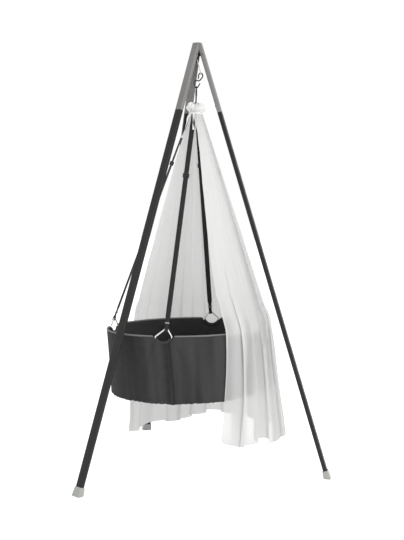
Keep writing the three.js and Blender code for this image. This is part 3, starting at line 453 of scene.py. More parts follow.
def weave_group():
    """Plain weave: threads over and under each other, a fleck of a second colour, and painted
    shade.
    """
    inputs = {"Vector": "Vector", "Colour": "Color", "Fleck Colour": "Color"}
    inputs.update({"Threads": "Float", "Fleck": "Float"})
    tree, given, made = group("weave", inputs, {"Colour": "Color", "Height": "Float"})
    apart = add(tree, "ShaderNodeSeparateXYZ", {0: given["Vector"]})
    waves = []
    for axis in (0, 1):
        count = maths(tree, "MULTIPLY", apart.outputs[axis], given["Threads"])
        waves.append(maths(tree, "SINE", maths(tree, "MULTIPLY", count, math.pi)))
    crossing = maths(tree, "MULTIPLY", waves[0], waves[1])
    over = maths(tree, "MULTIPLY_ADD", crossing, 0.5, 0.5)
    under = maths(tree, "SUBTRACT", 1.0, over)
    warp = maths(tree, "MULTIPLY", maths(tree, "ABSOLUTE", waves[0]), over)
    weft = maths(tree, "MULTIPLY", maths(tree, "ABSOLUTE", waves[1]), under)
    height = maths(tree, "MAXIMUM", warp, weft)
    yarn = noise_mask(tree, given["Vector"], 420.0, detail=4.0)
    cloudy = noise_mask(tree, given["Vector"], 46.0, 0.6, 1.0)
    fleck = maths(tree, "MULTIPLY", maths(tree, "MULTIPLY", yarn, given["Fleck"]), cloudy)
    colour = mixed(tree, fleck, given["Colour"], given["Fleck Colour"])
    # Painted shade: the colour darkens where the weave's height is high.
    shaded = mixed(tree, maths(tree, "MULTIPLY", height, 0.5), colour, (0, 0, 0, 1))
    feed(tree, made, {"Colour": mixed(tree, 0.75, shaded, colour), "Height": height})
    return tree


WEAVE = weave_group()


def woven(
    name, colour, fleck_colour, threads, fleck=0.5, depth=0.0002, turn=0.0, sheen=0.2, charted=True
):
    """Cloth, webbing or braid whose threads follow the piece's UV map in metres, if it has one."""
    given = {"Specular IOR Level": 0.25, "Roughness": 0.88}
    given.update({"Sheen Weight": sheen, "Sheen Roughness": 0.5})
    material, tree, surface = plain_material(name, given)
    if charted:
        place = add(tree, "ShaderNodeUVMap", uv_map="metres").outputs["UV"]
    else:
        place = own_space(tree)
    turned = add(tree, "ShaderNodeMapping", {"Vector": place, "Rotation": (0, 0, turn)})
    given = {"Vector": turned.outputs["Vector"], "Colour": colour, "Fleck Colour": fleck_colour}
    given.update({"Threads": threads, "Fleck": fleck})
    cloth = add(tree, "ShaderNodeGroup", given, node_tree=WEAVE).outputs
    tree.links.new(cloth["Colour"], surface.inputs["Base Color"])
    bump(tree, surface, cloth["Height"], depth)
    return material


hang_plane = Matrix.Translation(plumb) @ Matrix.Rotation(HANG_TURN, 4, "Z")
plane_along, plane_across = Vector((1, 0, 0)), Vector((0, 1, 0))
white_braid = woven("white_braid", WHITE_CORD, WHITE_FLECK, 900, turn=math.pi / 4)
black_braid = woven("black_braid", BLACK_CORD, BLACK_FLECK, 800, turn=math.pi / 4)

# The sling's ends are bends of one radius, one in the tongue and one under the hook.
sling_high = SLING_TOP * UP
hook_held = HOOK_TOP_OFFSET * plane_along + HOOK_TOP * UP
sling_up = (sling_high - hook_held).normalized()
sling_low = hook_held - (HOOK_WIRE + SLING_SEAT + SLING_RADIUS) * sling_up
half_sling = (sling_high - sling_low).length / 2
sling_route = []
for end in (0, 1):
    for step in range(BEND_STEPS):
        turn = math.pi * (end + step / (BEND_STEPS - 1))
        high = (1 - 2 * end) * (half_sling - SLING_BEND) + SLING_BEND * math.sin(turn)
        place = (sling_high + sling_low) / 2 + SLING_BEND * math.cos(turn) * plane_across
        sling_route.append(place + high * sling_up)
sling_axis = plane_across.cross(sling_up)
sling = round_bar("cord_sling", hang_plane, sling_route, SLING_RADIUS, sling_axis, closed=True)
finish_piece(sling, white_braid, "white_cord", "sling", "hanging_sling")

hook_points = []
for shares, middle, width in (
    (HOOK_UPPER_SHARES, HOOK_TOP_OFFSET, HOOK_UPPER_WIDTH),
    (HOOK_LOWER_SHARES, 0, HOOK_LOWER_WIDTH),
):
    for wide, high in shares:
        height = HOOK_BOTTOM + high * (HOOK_TOP - HOOK_BOTTOM)
        hook_points.append((middle + wide * width) * plane_along + height * UP)
hook_route = smooth_route(hook_points, HOOK_STEPS)


def blunt_ends(share):
    """The hook's wire is ground down at both its ends."""
    return min(1, WIRE_END + WIRE_END_SLOPE * min(share, 1 - share))


hook = round_bar(
    "bent_wire_hook", hang_plane, hook_route, HOOK_WIRE, plane_across, taper=blunt_ends
)
finish_piece(hook, black_steel, "dark_steel", "hook", "hanging_hook")

# The drop cord: eye, shaft and the stopper knot under the yoke, joined into one piece.
eye_top = HOOK_BOTTOM + HOOK_WIRE + DROP_EYE_SEAT + DROP_EYE_CORD
eye_middle = eye_top - DROP_EYE_RADIUS
knot_middle = YOKE_HEIGHT - YOKE_THICKNESS / 2 - FIT - KNOT_RADIUS
eye_route = []
for step in range(EYE_STEPS):
    turn = 2 * math.pi * step / EYE_STEPS
    around = math.cos(turn) * plane_across + math.sin(turn) * UP
    eye_route.append(DROP_EYE_RADIUS * around + eye_middle * UP)
shaft_top = eye_middle - DROP_EYE_RADIUS + DROP_EYE_CORD
shaft_route = [knot_middle * UP]
for step in range(SHAFT_STEPS + 1):
    shaft_route.append((YOKE_HEIGHT + (shaft_top - YOKE_HEIGHT) * step / SHAFT_STEPS) * UP)
knot_route = []
for step in range(KNOT_STEPS + 1):
    turn = 2 * math.pi * KNOT_TURNS * step / KNOT_STEPS - HANG_TURN
    rise = 2 * step / KNOT_STEPS - 1
    around = Vector((math.cos(turn), math.sin(turn), rise))
    knot_route.append(KNOT_COIL_SHARE * KNOT_RADIUS * around + knot_middle * UP)


def spliced(share):
    """The shaft's cord is thicker below its eye, where its end is tucked back in."""
    return 1 + SPLICE_SWELL * clamp((share - SPLICE_FROM) / SPLICE_RUN) * (share < SPLICE_TO)


for name, route, radius, flat_side, closed, taper in (
    ("eye", eye_route, DROP_EYE_CORD, plane_along, True, None),
    ("shaft", shaft_route, DROP_RADIUS, plane_across, False, spliced),
    ("knot", knot_route, KNOT_CORD_SHARE * KNOT_RADIUS, UP, False, None),
):
    part = round_bar(
        f"drop_cord_{name}", hang_plane, route, radius, flat_side, closed=closed, taper=taper
    )
    finish_piece(part, black_braid, "black_cord", "hook", "drop_cord")

# Yoke and straps
# A black disc on the cord carries four polyester straps through its slots. Each strap is one
# length of webbing: down to its ring, round the ring's top, and back up into its buckle.
CRADLE_TURN = math.radians(16)
RIM_HEIGHT = 0.603
RIM_LONG = 0.378
RIM_WIDE = 0.241
WALL = 0.005
CORNERS = {"right": (1, -1), "back": (1, 1), "left": (-1, 1), "front": (-1, -1)}
RING_DEGREES = {"right": 49, "back": 49, "left": 42, "front": 49.5}
RING_WIRE = 0.003
RING_INSET = 0.004
RING_APEX = 0.038
APEX_ALONG = {"right": 0.008, "back": 0.008, "left": 0.008, "front": 0.012}
RING_LEAN = math.radians(6)
RING_CROWN_SHARE = 0.22
YOKE_EDGE = 0.0008
SLOT_REACH = 0.013
SLOT_TURN = math.radians(37)
STRAP_WIDTH = 0.020
STRAP_NARROW = 0.014
STRAP_TAPER = 0.016
STRAP_HEM = 0.005
WEB_THICK = 0.0013
DOUBLED_GAP = 1.06
DOUBLING_SHARE = 0.012
BUCKLE_SHARES = {"right": 0.3, "back": 0.27, "left": 0.265, "front": 0.32}
TWIST_SHARE = 0.2
KEEPER_ABOVE_RING = 0.024
LOOP_SAG = 0.0085
LOOP_STEPS = 8
WEBBING = (0.0135, 0.0135, 0.0135, 1)
WEBBING_FLECK = (0.04, 0.04, 0.04, 1)
WEB_THREADS = 620
BRIGHT_WIRE = (0.78, 0.78, 0.77, 1)
TARNISHED_WIRE = (0.6, 0.6, 0.59, 1)
DULL_WIRE = (0.30, 0.30, 0.29)

cradle_place = Matrix.Translation(plumb) @ Matrix.Rotation(CRADLE_TURN, 4, "Z")


def oval(turn, long=1, wide=1):
    """A point of an oval round the plumb line."""
    return Vector((long * math.cos(turn), wide * math.sin(turn), 0))


def between(first, last, share):
    """A value some share of the way from one to another."""
    return first + (last - first) * share


def eased(share):
    """A share from nothing to one that starts and ends slowly."""
    share = clamp(share)
    return share * share * (3 - 2 * share)


def corner(where):
    """Where the ring and the strap of one corner lie, in the cradle's own frame."""
    signs = CORNERS[where]
    place = math.radians(RING_DEGREES[where])
    turn = math.atan2(signs[1] * math.sin(place), signs[0] * math.cos(place))
    along = oval(turn + math.pi / 2, RIM_LONG, RIM_WIDE).normalized()
    inwards = UP.cross(along)
    rim = oval(turn, RIM_LONG, RIM_WIDE) + RIM_HEIGHT * UP + (WALL / 2 + RING_INSET) * inwards
    outwards = oval(SLOT_TURN, *signs)
    up = math.cos(RING_LEAN) * UP - math.sin(RING_LEAN) * inwards
    middle_wards = signs[0] * signs[1] * along
    crown = RING_APEX * up + APEX_ALONG[where] * middle_wards
    return {
        "turn": turn,
        "along": along,
        "middle_wards": middle_wards,
        "outwards": outwards,
        "rim": rim,
        "bend": SLOT_REACH * outwards + (YOKE_HEIGHT - YOKE_THICKNESS) * UP,
        "up": up,
        "front": along.cross(up),
        "crown": rim + (1 - RING_CROWN_SHARE / 2) * crown,
    }


def ribbon(name, stations):
    """Flat webbing through stations of middle, width direction, face direction and two sizes."""
    rows = []
    for middle, wide, face, width, thick in stations:
        edge = min(thick / 2, width / 6)
        outline = []
        for u, v in ((1, 1), (-1, 1), (-1, -1), (1, -1)):
            flat = middle + u * (width / 2 - edge) * wide + v * thick / 2 * face
            side = middle + u * width / 2 * wide + v * thick / 5 * face
            outline += [side, flat] if u * v > 0 else [flat, side]
        rows.append(outline)
    return skin(name, cradle_place, rows)


def strap_stations(place, buckle):
    """The strap's whole route, in the cradle's frame."""
    run = place["crown"] - place["bend"]
    length = run.length
    down = run.normalized()
    top_wide = UP.cross(place["outwards"])
    low_wide = (place["along"] - place["along"].dot(down) * down).normalized()
    if top_wide.dot(low_wide) < 0:
        top_wide = -top_wide
    top_face = UP.cross(top_wide)
    slot_top = place["bend"] + (1.5 * YOKE_THICKNESS + FIT) * UP
    stations = []
    for lift, thick in ((STRAP_HEM, STRAP_HEM), (0, STRAP_HEM), (-FIT, WEB_THICK)):
        stations.append((slot_top + lift * UP, top_wide, top_face, STRAP_NARROW, thick))
    stations.append((place["bend"], top_wide, top_face, STRAP_NARROW, WEB_THICK))
    keeper_share = 1 - (KEEPER_ABOVE_RING + RING_WIRE) / length
    taper_share = STRAP_TAPER / length
    loop_radius = RING_WIRE + FIT + WEB_THICK / 2

    def straight(share, side):
        wide = top_wide.lerp(low_wide, eased(share / TWIST_SHARE))
        wide = (wide - wide.dot(down) * down).normalized()
        face = wide.cross(down)
        narrow = clamp((share - keeper_share) / taper_share + 1.5)
        spread = clamp((share - 1) / taper_share + 1) ** 1.5 * (loop_radius - WEB_THICK / 2)
        spread += clamp((share - buckle) / DOUBLING_SHARE + 1) * DOUBLED_GAP * WEB_THICK / 2
        middle = place["bend"] + share * length * down + side * spread * face
        return middle, wide, side * face, between(STRAP_WIDTH, STRAP_NARROW, narrow), WEB_THICK

    shares = [0.025 * step for step in range(1, 10)]
    shares += [buckle - 0.02, buckle - 0.01, buckle, 0.4, 0.6, 0.8]
    close = [keeper_share - k * taper_share for k in (2.2, 1.5, 1, 0.5, 0)]
    close += [1 - k / length for k in (0.016, 0.012, 0.008, 0.004, 0.001)]
    stations += [straight(share, 1) for share in shares + close]
    for step in range(LOOP_STEPS + 1):
        turn = math.pi * step / LOOP_STEPS
        reach = math.cos(turn) * low_wide.cross(down) + math.sin(turn) * down
        middle = place["crown"] + LOOP_SAG * down + loop_radius * reach
        stations.append((middle, low_wide, reach, STRAP_NARROW, WEB_THICK))
    back_up = [*reversed(close), 0.8, 0.6, 0.4, buckle + 0.005, buckle - 0.008]
    return stations + [straight(share, -1) for share in back_up]


def polished_wire(name):
    """Bright plated wire with faint drawing marks."""
    material, tree, surface = plain_material(name, {"Metallic": 1.0})
    marks = noise_mask(tree, own_space(tree), 160.0, 0.12, 0.3)
    colour = mixed(tree, noise_mask(tree, own_space(tree), 24.0), BRIGHT_WIRE, TARNISHED_WIRE)
    feed(tree, surface, {"Base Color": colour, "Roughness": marks})
    return material


black_webbing = woven("black_webbing", WEBBING, WEBBING_FLECK, WEB_THREADS, turn=0.5, depth=0.0003)
bright_wire = polished_wire("bright_wire")
dull_wire = coated("dull_wire", DULL_WIRE, dull=0.7, grain=1500.0, metallic=0.8)
yoke = refined("strap_yoke", "yoke_disc", YOKE_EDGE)
finish_piece(yoke, black_steel, "dark_steel", "cradle", "strap_yoke")
corners = {where: corner(where) for where in CORNERS}
for where, place in corners.items():
    strap = ribbon(f"webbing_strap_{where}", strap_stations(place, BUCKLE_SHARES[where]))
    finish_piece(strap, black_webbing, "webbing", "cradle", f"strap_{where}")
    slider = refined(f"strap_buckle_{where}", f"ladder_buckle_{where}", END_EDGE, segments=3)
    finish_piece(slider, black_steel, "dark_steel", f"buckle_{where}", f"strap_buckle_{where}")
    keeper = refined(f"strap_keeper_{where}", f"wire_keeper_{where}", END_EDGE, segments=3)
    finish_piece(keeper, dull_wire, "bright_wire", "cradle", f"strap_keeper_{where}")

# Rings and their sleeves
# Bright wire rings, round below and straight-sided above, each held by a fabric sleeve that is
# sewn along a half-round bay in the rim.
RING_HALF = 0.0345
RING_BELOW = 0.025
RING_CORNER_SHARE = 0.1
SLEEVE_RADIUS = 0.0058
SLEEVE_STOP = 0.005
SLEEVE_WALL = 0.0014
SLEEVE_PUCKER = 0.00045
SLEEVE_WRINKLE = 0.0004
SLEEVE_STEPS = 24
SLEEVE_SIDES = 16
CRADLE_CLOTH = (0.052, 0.052, 0.052, 1)
CRADLE_FLECK = (0.058, 0.058, 0.058, 1)
# Painted shade: the near black that the cloth takes in its fold valleys and under the tub.
FOLD_SHADE_CLOTH = (0.010, 0.010, 0.010, 1)
# The inside's colour: a darker lining, partly painted shade of the tub's inside.
LINING_AND_SHADE_CLOTH = (0.030, 0.030, 0.030, 1)
CLOTH_THREADS = 1150

belly_radius = (RING_HALF**2 + RING_BELOW**2) / (2 * RING_BELOW)
belly_centre = belly_radius - RING_BELOW
belly_start = math.atan2(-belly_centre, RING_HALF)


def belly_point(angle):
    """A point of the ring's round part, in the ring's plane."""
    return belly_radius * math.cos(angle), belly_centre + belly_radius * math.sin(angle)


def bowed(first, control, last, steps):
    """Points of a quadratic curve, without its last one."""
    points = []
    for step in range(steps):
        t = step / steps
        a, b, c = (1 - t) ** 2, 2 * t * (1 - t), t * t
        points.append(tuple(a * p + b * q + c * r for p, q, r in zip(first, control, last)))
    return points


def ring_outline(apex):
    """The ring's wire in its own plane: the belly, then up, over the crown and down."""
    near, far = RING_CORNER_SHARE, RING_CROWN_SHARE
    soften = near * math.hypot(RING_HALF, RING_APEX) / belly_radius
    start, end = math.pi - belly_start + soften, 2 * math.pi + belly_start - soften
    outline = [belly_point(between(start, end, step / 26)) for step in range(26)]
    left, right = [
        [(between(foot, apex, share), share * RING_APEX) for share in (near, 0.5, 1 - far)]
        for foot in (-RING_HALF, RING_HALF)
    ]
    outline += bowed(belly_point(end), (RING_HALF, 0), right[0], 5)
    outline += bowed(*right, 4)
    outline += bowed(right[2], (apex, RING_APEX), left[2], 8)
    outline += bowed(*reversed(left), 4)
    return outline + bowed(left[0], (-RING_HALF, 0), belly_point(start), 5)


def sleeve_rows(place, salt):
    """The sleeve's cloth: its outer skin there, its inner skin back."""
    stop = SLEEVE_STOP / belly_radius
    start, end = math.pi - belly_start + stop, 2 * math.pi + belly_start - stop
    layers = []
    for layer in (SLEEVE_RADIUS, SLEEVE_RADIUS - SLEEVE_WALL):
        rows = []
        for step in range(SLEEVE_STEPS + 1):
            share = step / SLEEVE_STEPS
            angle = between(start, end, share)
            x, y = belly_point(angle)
            outward = math.cos(angle) * place["along"] + math.sin(angle) * place["up"]
            middle = place["rim"] + x * place["along"] + y * place["up"]
            reach = layer + SLEEVE_PUCKER * noise.noise(Vector((share * 14, salt, 0)))
            loop = []
            for side in range(SLEEVE_SIDES):
                turn = 2 * math.pi * side / SLEEVE_SIDES
                wrinkle = noise.noise(Vector((share * 26, 2 * math.cos(turn) + salt, turn)))
                around = math.cos(turn) * outward + math.sin(turn) * place["front"]
                loop.append(middle + (reach + SLEEVE_WRINKLE * wrinkle) * around)
            rows.append(loop)
        layers.append(rows)
    return layers[0] + layers[1][::-1]


def mark(tree, name):
    """A value that the piece's corners carry."""
    return add(tree, "ShaderNodeAttribute", attribute_name=name).outputs["Fac"]


def melange(name):
    """The cradle's dark cloth: a fleck of lighter yarn outside, plain and darker inside, with
    painted light and shade.
    """
    material = woven(name, CRADLE_CLOTH, CRADLE_FLECK, CLOTH_THREADS, 0.75, 0.00025, sheen=0.05)
    tree = material.node_tree
    cloth = next(part for part in tree.nodes if part.type == "GROUP")
    upright = add(tree, "ShaderNodeMapping", {"Vector": own_space(tree), "Scale": (1, 1, 0.3)})
    # Painted shade: upright streaks of noise darken the cloth as in soft vertical folds.
    upright_streak_shade = noise_mask(tree, upright.outputs["Vector"], 24.0, 0.8, 1.0, detail=5.0)
    mottle = noise_mask(tree, own_space(tree), 190.0, 0.72, 1.0)
    # Painted light and shade: the fold mark, the streaks and a random mottle make the cloth near
    # black in its fold valleys and under the tub, and lighter with more fleck on its crests.
    fold_light_and_shade = maths(tree, "MULTIPLY", maths(tree, "MULTIPLY", mark(tree, "fold"), upright_streak_shade), mottle)
    outside = mixed(tree, fold_light_and_shade, FOLD_SHADE_CLOTH, CRADLE_CLOTH)
    # The inside is darker: partly a darker lining, partly painted shade.
    ground = mixed(tree, mark(tree, "share"), outside, LINING_AND_SHADE_CLOTH)
    fleck = mixed(tree, fold_light_and_shade, CRADLE_CLOTH, CRADLE_FLECK)
    feed(tree, cloth, {"Colour": ground, "Fleck Colour": fleck})
    return material


cradle_cloth = melange("cradle_cloth")
for salt, (where, place) in enumerate(corners.items()):
    wire = []
    for x, y in ring_outline(APEX_ALONG[where]):
        wire.append(place["rim"] + x * place["middle_wards"] + y * place["up"])
    front = place["front"]
    ring = round_bar(f"wire_ring_{where}", cradle_place, wire, RING_WIRE, front, closed=True)
    finish_piece(ring, bright_wire, "bright_wire", "cradle", f"rim_ring_{where}")
    sleeve = skin(f"sleeve_{where}", cradle_place, sleeve_rows(place, salt), ring=True)
    finish_piece(sleeve, cradle_cloth, "cradle_fabric", "cradle", f"ring_sleeve_{where}")

# Cradle body
# A sewn tub of dark melange cloth on a padded wall, gathered into an oval floor. A seam runs
# down from every ring, and light piping finishes the rim between the bays.
BASE_HEIGHT = 0.3315
BASE_LONG = 0.342
BASE_WIDE = 0.259
WALL_EASE_POWER = 1.15
FLOOR_CLOTH = 0.004
BASE_ROUNDING = 0.006
HEM_DIP = 0.005
HEM_DIP_HALF = 0.02
HEM_WAVE = 0.0046
HEM_FADE = 0.02
SLEEVE_OVERLAP = 0.001
BAY_RADIUS = belly_radius + SLEEVE_RADIUS - SLEEVE_OVERLAP
PLAIN_COLUMNS = 320
BAY_COLUMNS = 44
BAY_SPREAD = 1.12
BAY_EDGE_TURN = 1e-4
LEAST_TURN = 5e-5
UNDERSIDE_SPREADS = (0.0, 0.25, 0.5, 0.7, 0.84, 0.93)
OUTER_ROWS = 40
OUTER_ROW_CROWDING = 0.14
RIM_ROWS = ((-0.0008, 0.0011), (-WALL / 2, 0.0017), (0.0008 - WALL, 0.0011))
INNER_ROWS = 16
INSIDE_SPREADS = (0.9, 0.6, 0.3, 0.0)
LINING_RELIEF = 0.4
LINING_RELIEF_MOST = 0.0012
UNDERSIDE_SAG = 0.0006
WALL_FOLD = 0.0050
WALL_RIPPLE = 0.0032
HEM_GATHER = 0.0062
HEM_GATHER_FADE = 0.045
RIM_PUCKER = 0.0022
RIM_PUCKER_FADE = 0.022
CREASE_DEPTH = 0.0034
CREASE_START = 0.038
CREASE_SLANT = 0.33
CREASE_HALF = 0.007
CREASE_WIDENING = 0.06
CREASE_FADE = 0.16
CREASE_BELOW_RIM = 0.04
SEAM_RELIEFS = ((-0.0036, 0, 0.004), (0.0022, 0.022, 0.014), (-0.0022, -0.018, 0.016))
SEAM_ALONG = 0.017
SEAM_SLANT = 0.03
# Painted light and shade on the tub's cloth: the fold mark is FOLD_LIGHT where the wall is flat,
# by one, UNDERSIDE_LIGHT for painted shade under the tub and LINING_LIGHT inside. RIM_LINING is
# lighter on the crests and darker in the valleys of its relief, a relief of FOLD_DEPTH moving it
# the share of the darker inside colour, partly painted shade, on the rim's top.
FOLD_DEPTH = 0.007
FOLD_LIGHT = 0.55
UNDERSIDE_LIGHT = 0.3
LINING_LIGHT = 0.6
RIM_LINING = 0.4
PIPING_RADIUS = 0.0034
PIPING_STEPS = 90
PIPING_WOBBLE = 0.0005
PIPING_CLEAR = 0.6
PIPING_LIFT = 0.8
PIPING_ENDS = {
    "foot": ("right", "back"),
    "back": ("back", "left"),
    "head": ("left", "front"),
    "front": ("front", "right"),
}
PIPING_CLOTH = (0.20, 0.20, 0.196, 1)
PIPING_FLECK = (0.15, 0.15, 0.147, 1)
THREAD_LENGTH = 0.0026
THREAD_THICK = 0.0007
THREAD_PROUD = 0.2
STITCH_PITCH = 0.0036
STITCH_FROM_BAY = 0.008
STITCH_BELOW_RIM = 0.008
BAY_STITCH_BELOW_RIM = 0.007
STITCH_ABOVE_HEM = 0.014
THREAD = (0.018, 0.018, 0.018)

bay_half = math.sqrt(BAY_RADIUS**2 - belly_centre**2)
ring_rise = corners["front"]["up"].z


def bell(offset, half):
    """One at no offset, falling smoothly to nothing on both sides."""
    return math.exp(-((offset / half) ** 2))


def ripple(turn, fineness, *shift):
    """Smooth noise round the plumb line."""
    return noise.noise(fineness * oval(turn) + Vector(shift))


def rim_speed(turn):
    """Metres along the rim for a radian of the oval's parameter."""
    return math.hypot(RIM_LONG * math.sin(turn), RIM_WIDE * math.cos(turn))


def bay_offset(turn):
    """The nearest ring's distance along the rim."""
    offsets = [1.0]
    for place in corners.values():
        gap = (turn - place["turn"] + math.pi) % (2 * math.pi) - math.pi
        offsets.append(gap * rim_speed(place["turn"]))
    return min(offsets, key=abs)


def rim_edge(turn):
    """The height of the wall's top edge, lower in the bays."""
    offset = bay_offset(turn)
    if abs(offset) >= bay_half:
        return RIM_HEIGHT
    return RIM_HEIGHT + ring_rise * (belly_centre - math.sqrt(BAY_RADIUS**2 - offset**2))


def tub_point(turn, height, margin):
    """A point of the tub's wall, in the cradle's frame."""
    risen = (max(height - BASE_HEIGHT, 0) / (RIM_HEIGHT - BASE_HEIGHT)) ** WALL_EASE_POWER
    long, wide = between(BASE_LONG, RIM_LONG, risen), between(BASE_WIDE, RIM_WIDE, risen)
    out = oval(turn, 1 / long, 1 / wide).normalized()
    return oval(turn, long, wide) + margin * out + height * UP


def seam_offset(turn, below):
    """The distance along the wall from the nearest seam, which starts beside a ring and slants."""
    return bay_offset(turn) - SEAM_ALONG - SEAM_SLANT * below


def wall_relief(turn, height, salt=0.0):
    """Soft folds, rim puckers, hem gathers and the seams under the rings."""
    above = height - BASE_HEIGHT
    below = RIM_HEIGHT - height
    relief = WALL_FOLD * ripple(turn, 4.4, salt, 0, 1.8 * above)
    relief += WALL_RIPPLE * ripple(turn, 12, 0, salt, 1.6 * above)
    patch = 0.5 + 0.5 * ripple(turn, 4.5, 9, salt, 0)
    gather = patch * ripple(turn, 26, 0, 0, 5 * above + salt)
    relief += HEM_GATHER * gather * math.exp(-above / HEM_GATHER_FADE)
    pucker = patch * ripple(turn, 34, 4, salt, 9 * below)
    relief += RIM_PUCKER * pucker * math.exp(-below / RIM_PUCKER_FADE)
    offset = bay_offset(turn)
    depth = CREASE_DEPTH * math.exp(-below / CREASE_FADE) * min(below / CREASE_BELOW_RIM, 1)
    for side in (-1, 1):
        aside = offset - side * (CREASE_START + CREASE_SLANT * below)
        relief -= depth * bell(aside, CREASE_HALF + CREASE_WIDENING * below)
    seam = seam_offset(turn, below)
    for lift, middle, half in SEAM_RELIEFS:
        relief += lift * bell(seam - middle, half)
    return relief


def tub_turns():
    """Columns of the wall: evenly spaced, and closer in the bays."""
    turns = [2 * math.pi * column / PLAIN_COLUMNS for column in range(PLAIN_COLUMNS)]
    for place in corners.values():
        reach = bay_half / rim_speed(place["turn"])
        for column in range(BAY_COLUMNS + 1):
            share = BAY_SPREAD * (2 * column / BAY_COLUMNS - 1)
            turns.append((place["turn"] + reach * share) % (2 * math.pi))
        for side in (-1, 1):
            exact = place["turn"] + side * reach
            turns += [exact % (2 * math.pi), (exact - side * BAY_EDGE_TURN) % (2 * math.pi)]
    turns.sort()
    kept = [turns[0]]
    for turn in turns[1:]:
        if turn - kept[-1] > LEAST_TURN:
            kept.append(turn)
    return kept


def floor_row(turns, spread, margin, lift, sag=0.0):
    """A loop of the flat cloth below or inside, some share of the way out to the wall."""
    row = []
    for turn in turns:
        edge = tub_point(turn, BASE_HEIGHT, margin)
        height = BASE_HEIGHT + lift + sag * noise.noise(60 * edge)
        row.append(Vector((spread * edge.x, spread * edge.y, height)))
    return row


def cloth_tub():
    """The tub's rows, from the middle of its underside up, over the rim and down inside."""
    turns = tub_turns()
    rows, inside, folds = [], [], []
    # The rim and the inside carry LINING_LIGHT, a level of painted light.
    plain = [LINING_LIGHT] * len(turns)

    def lay(row, lining, row_shades):
        rows.append(row)
        inside.append(lining)
        folds.append(row_shades)

    for spread in UNDERSIDE_SPREADS:
        row = floor_row(turns, spread, -BASE_ROUNDING, 0.0, UNDERSIDE_SAG)
        # The underside carries UNDERSIDE_LIGHT, painted shade under the tub.
        lay(row, 0.0, [UNDERSIDE_LIGHT] * len(turns))
    for step in range(OUTER_ROWS + 1):
        share = step / OUTER_ROWS
        share -= OUTER_ROW_CROWDING * math.sin(2 * math.pi * share)
        row, row_shades = [], []
        for turn in turns:
            height = between(BASE_HEIGHT, rim_edge(turn), share)
            above = height - BASE_HEIGHT
            rounding = BASE_ROUNDING * max(0, 1 - above / BASE_ROUNDING) ** 2
            relief = wall_relief(turn, height)
            drop = HEM_WAVE * ripple(turn, 30, 0, 0, 210)
            drop -= HEM_DIP * bell(seam_offset(turn, RIM_HEIGHT - height), HEM_DIP_HALF)
            lowest = max(drop * math.exp(-above / HEM_FADE), -above - HEM_DIP)
            row.append(tub_point(turn, height, relief - rounding) + lowest * UP)
            # Painted light on the crests of the wall's relief and painted shade in its valleys.
            row_shades.append(clamp(FOLD_LIGHT + relief / FOLD_DEPTH))
        lay(row, 0.0, row_shades)
    for margin, lift in RIM_ROWS:
        row = [tub_point(turn, rim_edge(turn) + lift, margin) for turn in turns]
        lay(row, RIM_LINING, plain)
    for step in range(INNER_ROWS + 1):
        row = []
        for turn in turns:
            height = between(rim_edge(turn), BASE_HEIGHT + FLOOR_CLOTH, step / INNER_ROWS)
            relief = min(LINING_RELIEF * wall_relief(turn, height, 3.0), LINING_RELIEF_MOST)
            row.append(tub_point(turn, height, relief - WALL))
        lay(row, 1.0, plain)
    for spread in INSIDE_SPREADS:
        lay(floor_row(turns, spread, -WALL, FLOOR_CLOTH), 1.0, plain)
    return skin(
        "cloth_tub", cradle_place, rows, caps=False, chart_row=20, shares=inside, folds=folds
    )


finish_piece(cloth_tub(), cradle_cloth, "cradle_fabric", "cradle", "cradle_body")


def piping_route(start, end):
    """Middle of the wall's top, from one bay's edge to the next."""
    clear = bay_half + PIPING_CLEAR * PIPING_RADIUS
    first, last = start + clear / rim_speed(start), end - clear / rim_speed(end)
    route = []
    for step in range(PIPING_STEPS + 1):
        turn = between(first, last, step / PIPING_STEPS)
        wobble = PIPING_WOBBLE * ripple(turn, 30, 0, 0, 90)
        height = RIM_HEIGHT + PIPING_LIFT * PIPING_RADIUS + wobble
        route.append(tub_point(turn, height, wobble - WALL / 2))
    return route


def round_end(share):
    """Closes the piping's last steps into a round end."""
    near = min(share, 1 - share) * PIPING_STEPS
    return math.sqrt(max(0.02, 1 - (1 - min(near, 1)) ** 2))


piping_cloth = woven("piping_cloth", PIPING_CLOTH, PIPING_FLECK, 1300, 0.6, turn=0.78)
for where, (first, last) in PIPING_ENDS.items():
    start, end = corners[first]["turn"], corners[last]["turn"]
    if end < start:
        end += 2 * math.pi
    route = piping_route(start, end)
    name = f"piping_{where}"
    cord = round_bar(name, cradle_place, route, PIPING_RADIUS, UP, 12, taper=round_end)
    finish_piece(cord, piping_cloth, "piping", "cradle", f"rim_piping_{where}")


def stitch_places():
    """Where each stitch lies and which way it runs: round the bays, under the rim, at the hem."""
    places = []
    reach = BAY_RADIUS + STITCH_FROM_BAY
    limit = math.acos(belly_centre / reach)
    count = int(2 * limit * reach / STITCH_PITCH)
    for place in corners.values():
        for step in range(count + 1):
            angle = between(-limit, limit, step / count)
            turn = place["turn"] + reach * math.sin(angle) / rim_speed(place["turn"])
            height = RIM_HEIGHT + ring_rise * (belly_centre - reach * math.cos(angle))
            if height < RIM_HEIGHT - BAY_STITCH_BELOW_RIM:
                places.append((turn, height, angle))
    under_rim = (RIM_HEIGHT - STITCH_BELOW_RIM, bay_half + STITCH_FROM_BAY)
    for height, margin in (under_rim, (BASE_HEIGHT + STITCH_ABOVE_HEM, 0.0)):
        turn = 0.0
        while turn < 2 * math.pi:
            if abs(bay_offset(turn)) > margin:
                places.append((turn, height, 0.0))
            turn += STITCH_PITCH / rim_speed(turn)
    return places


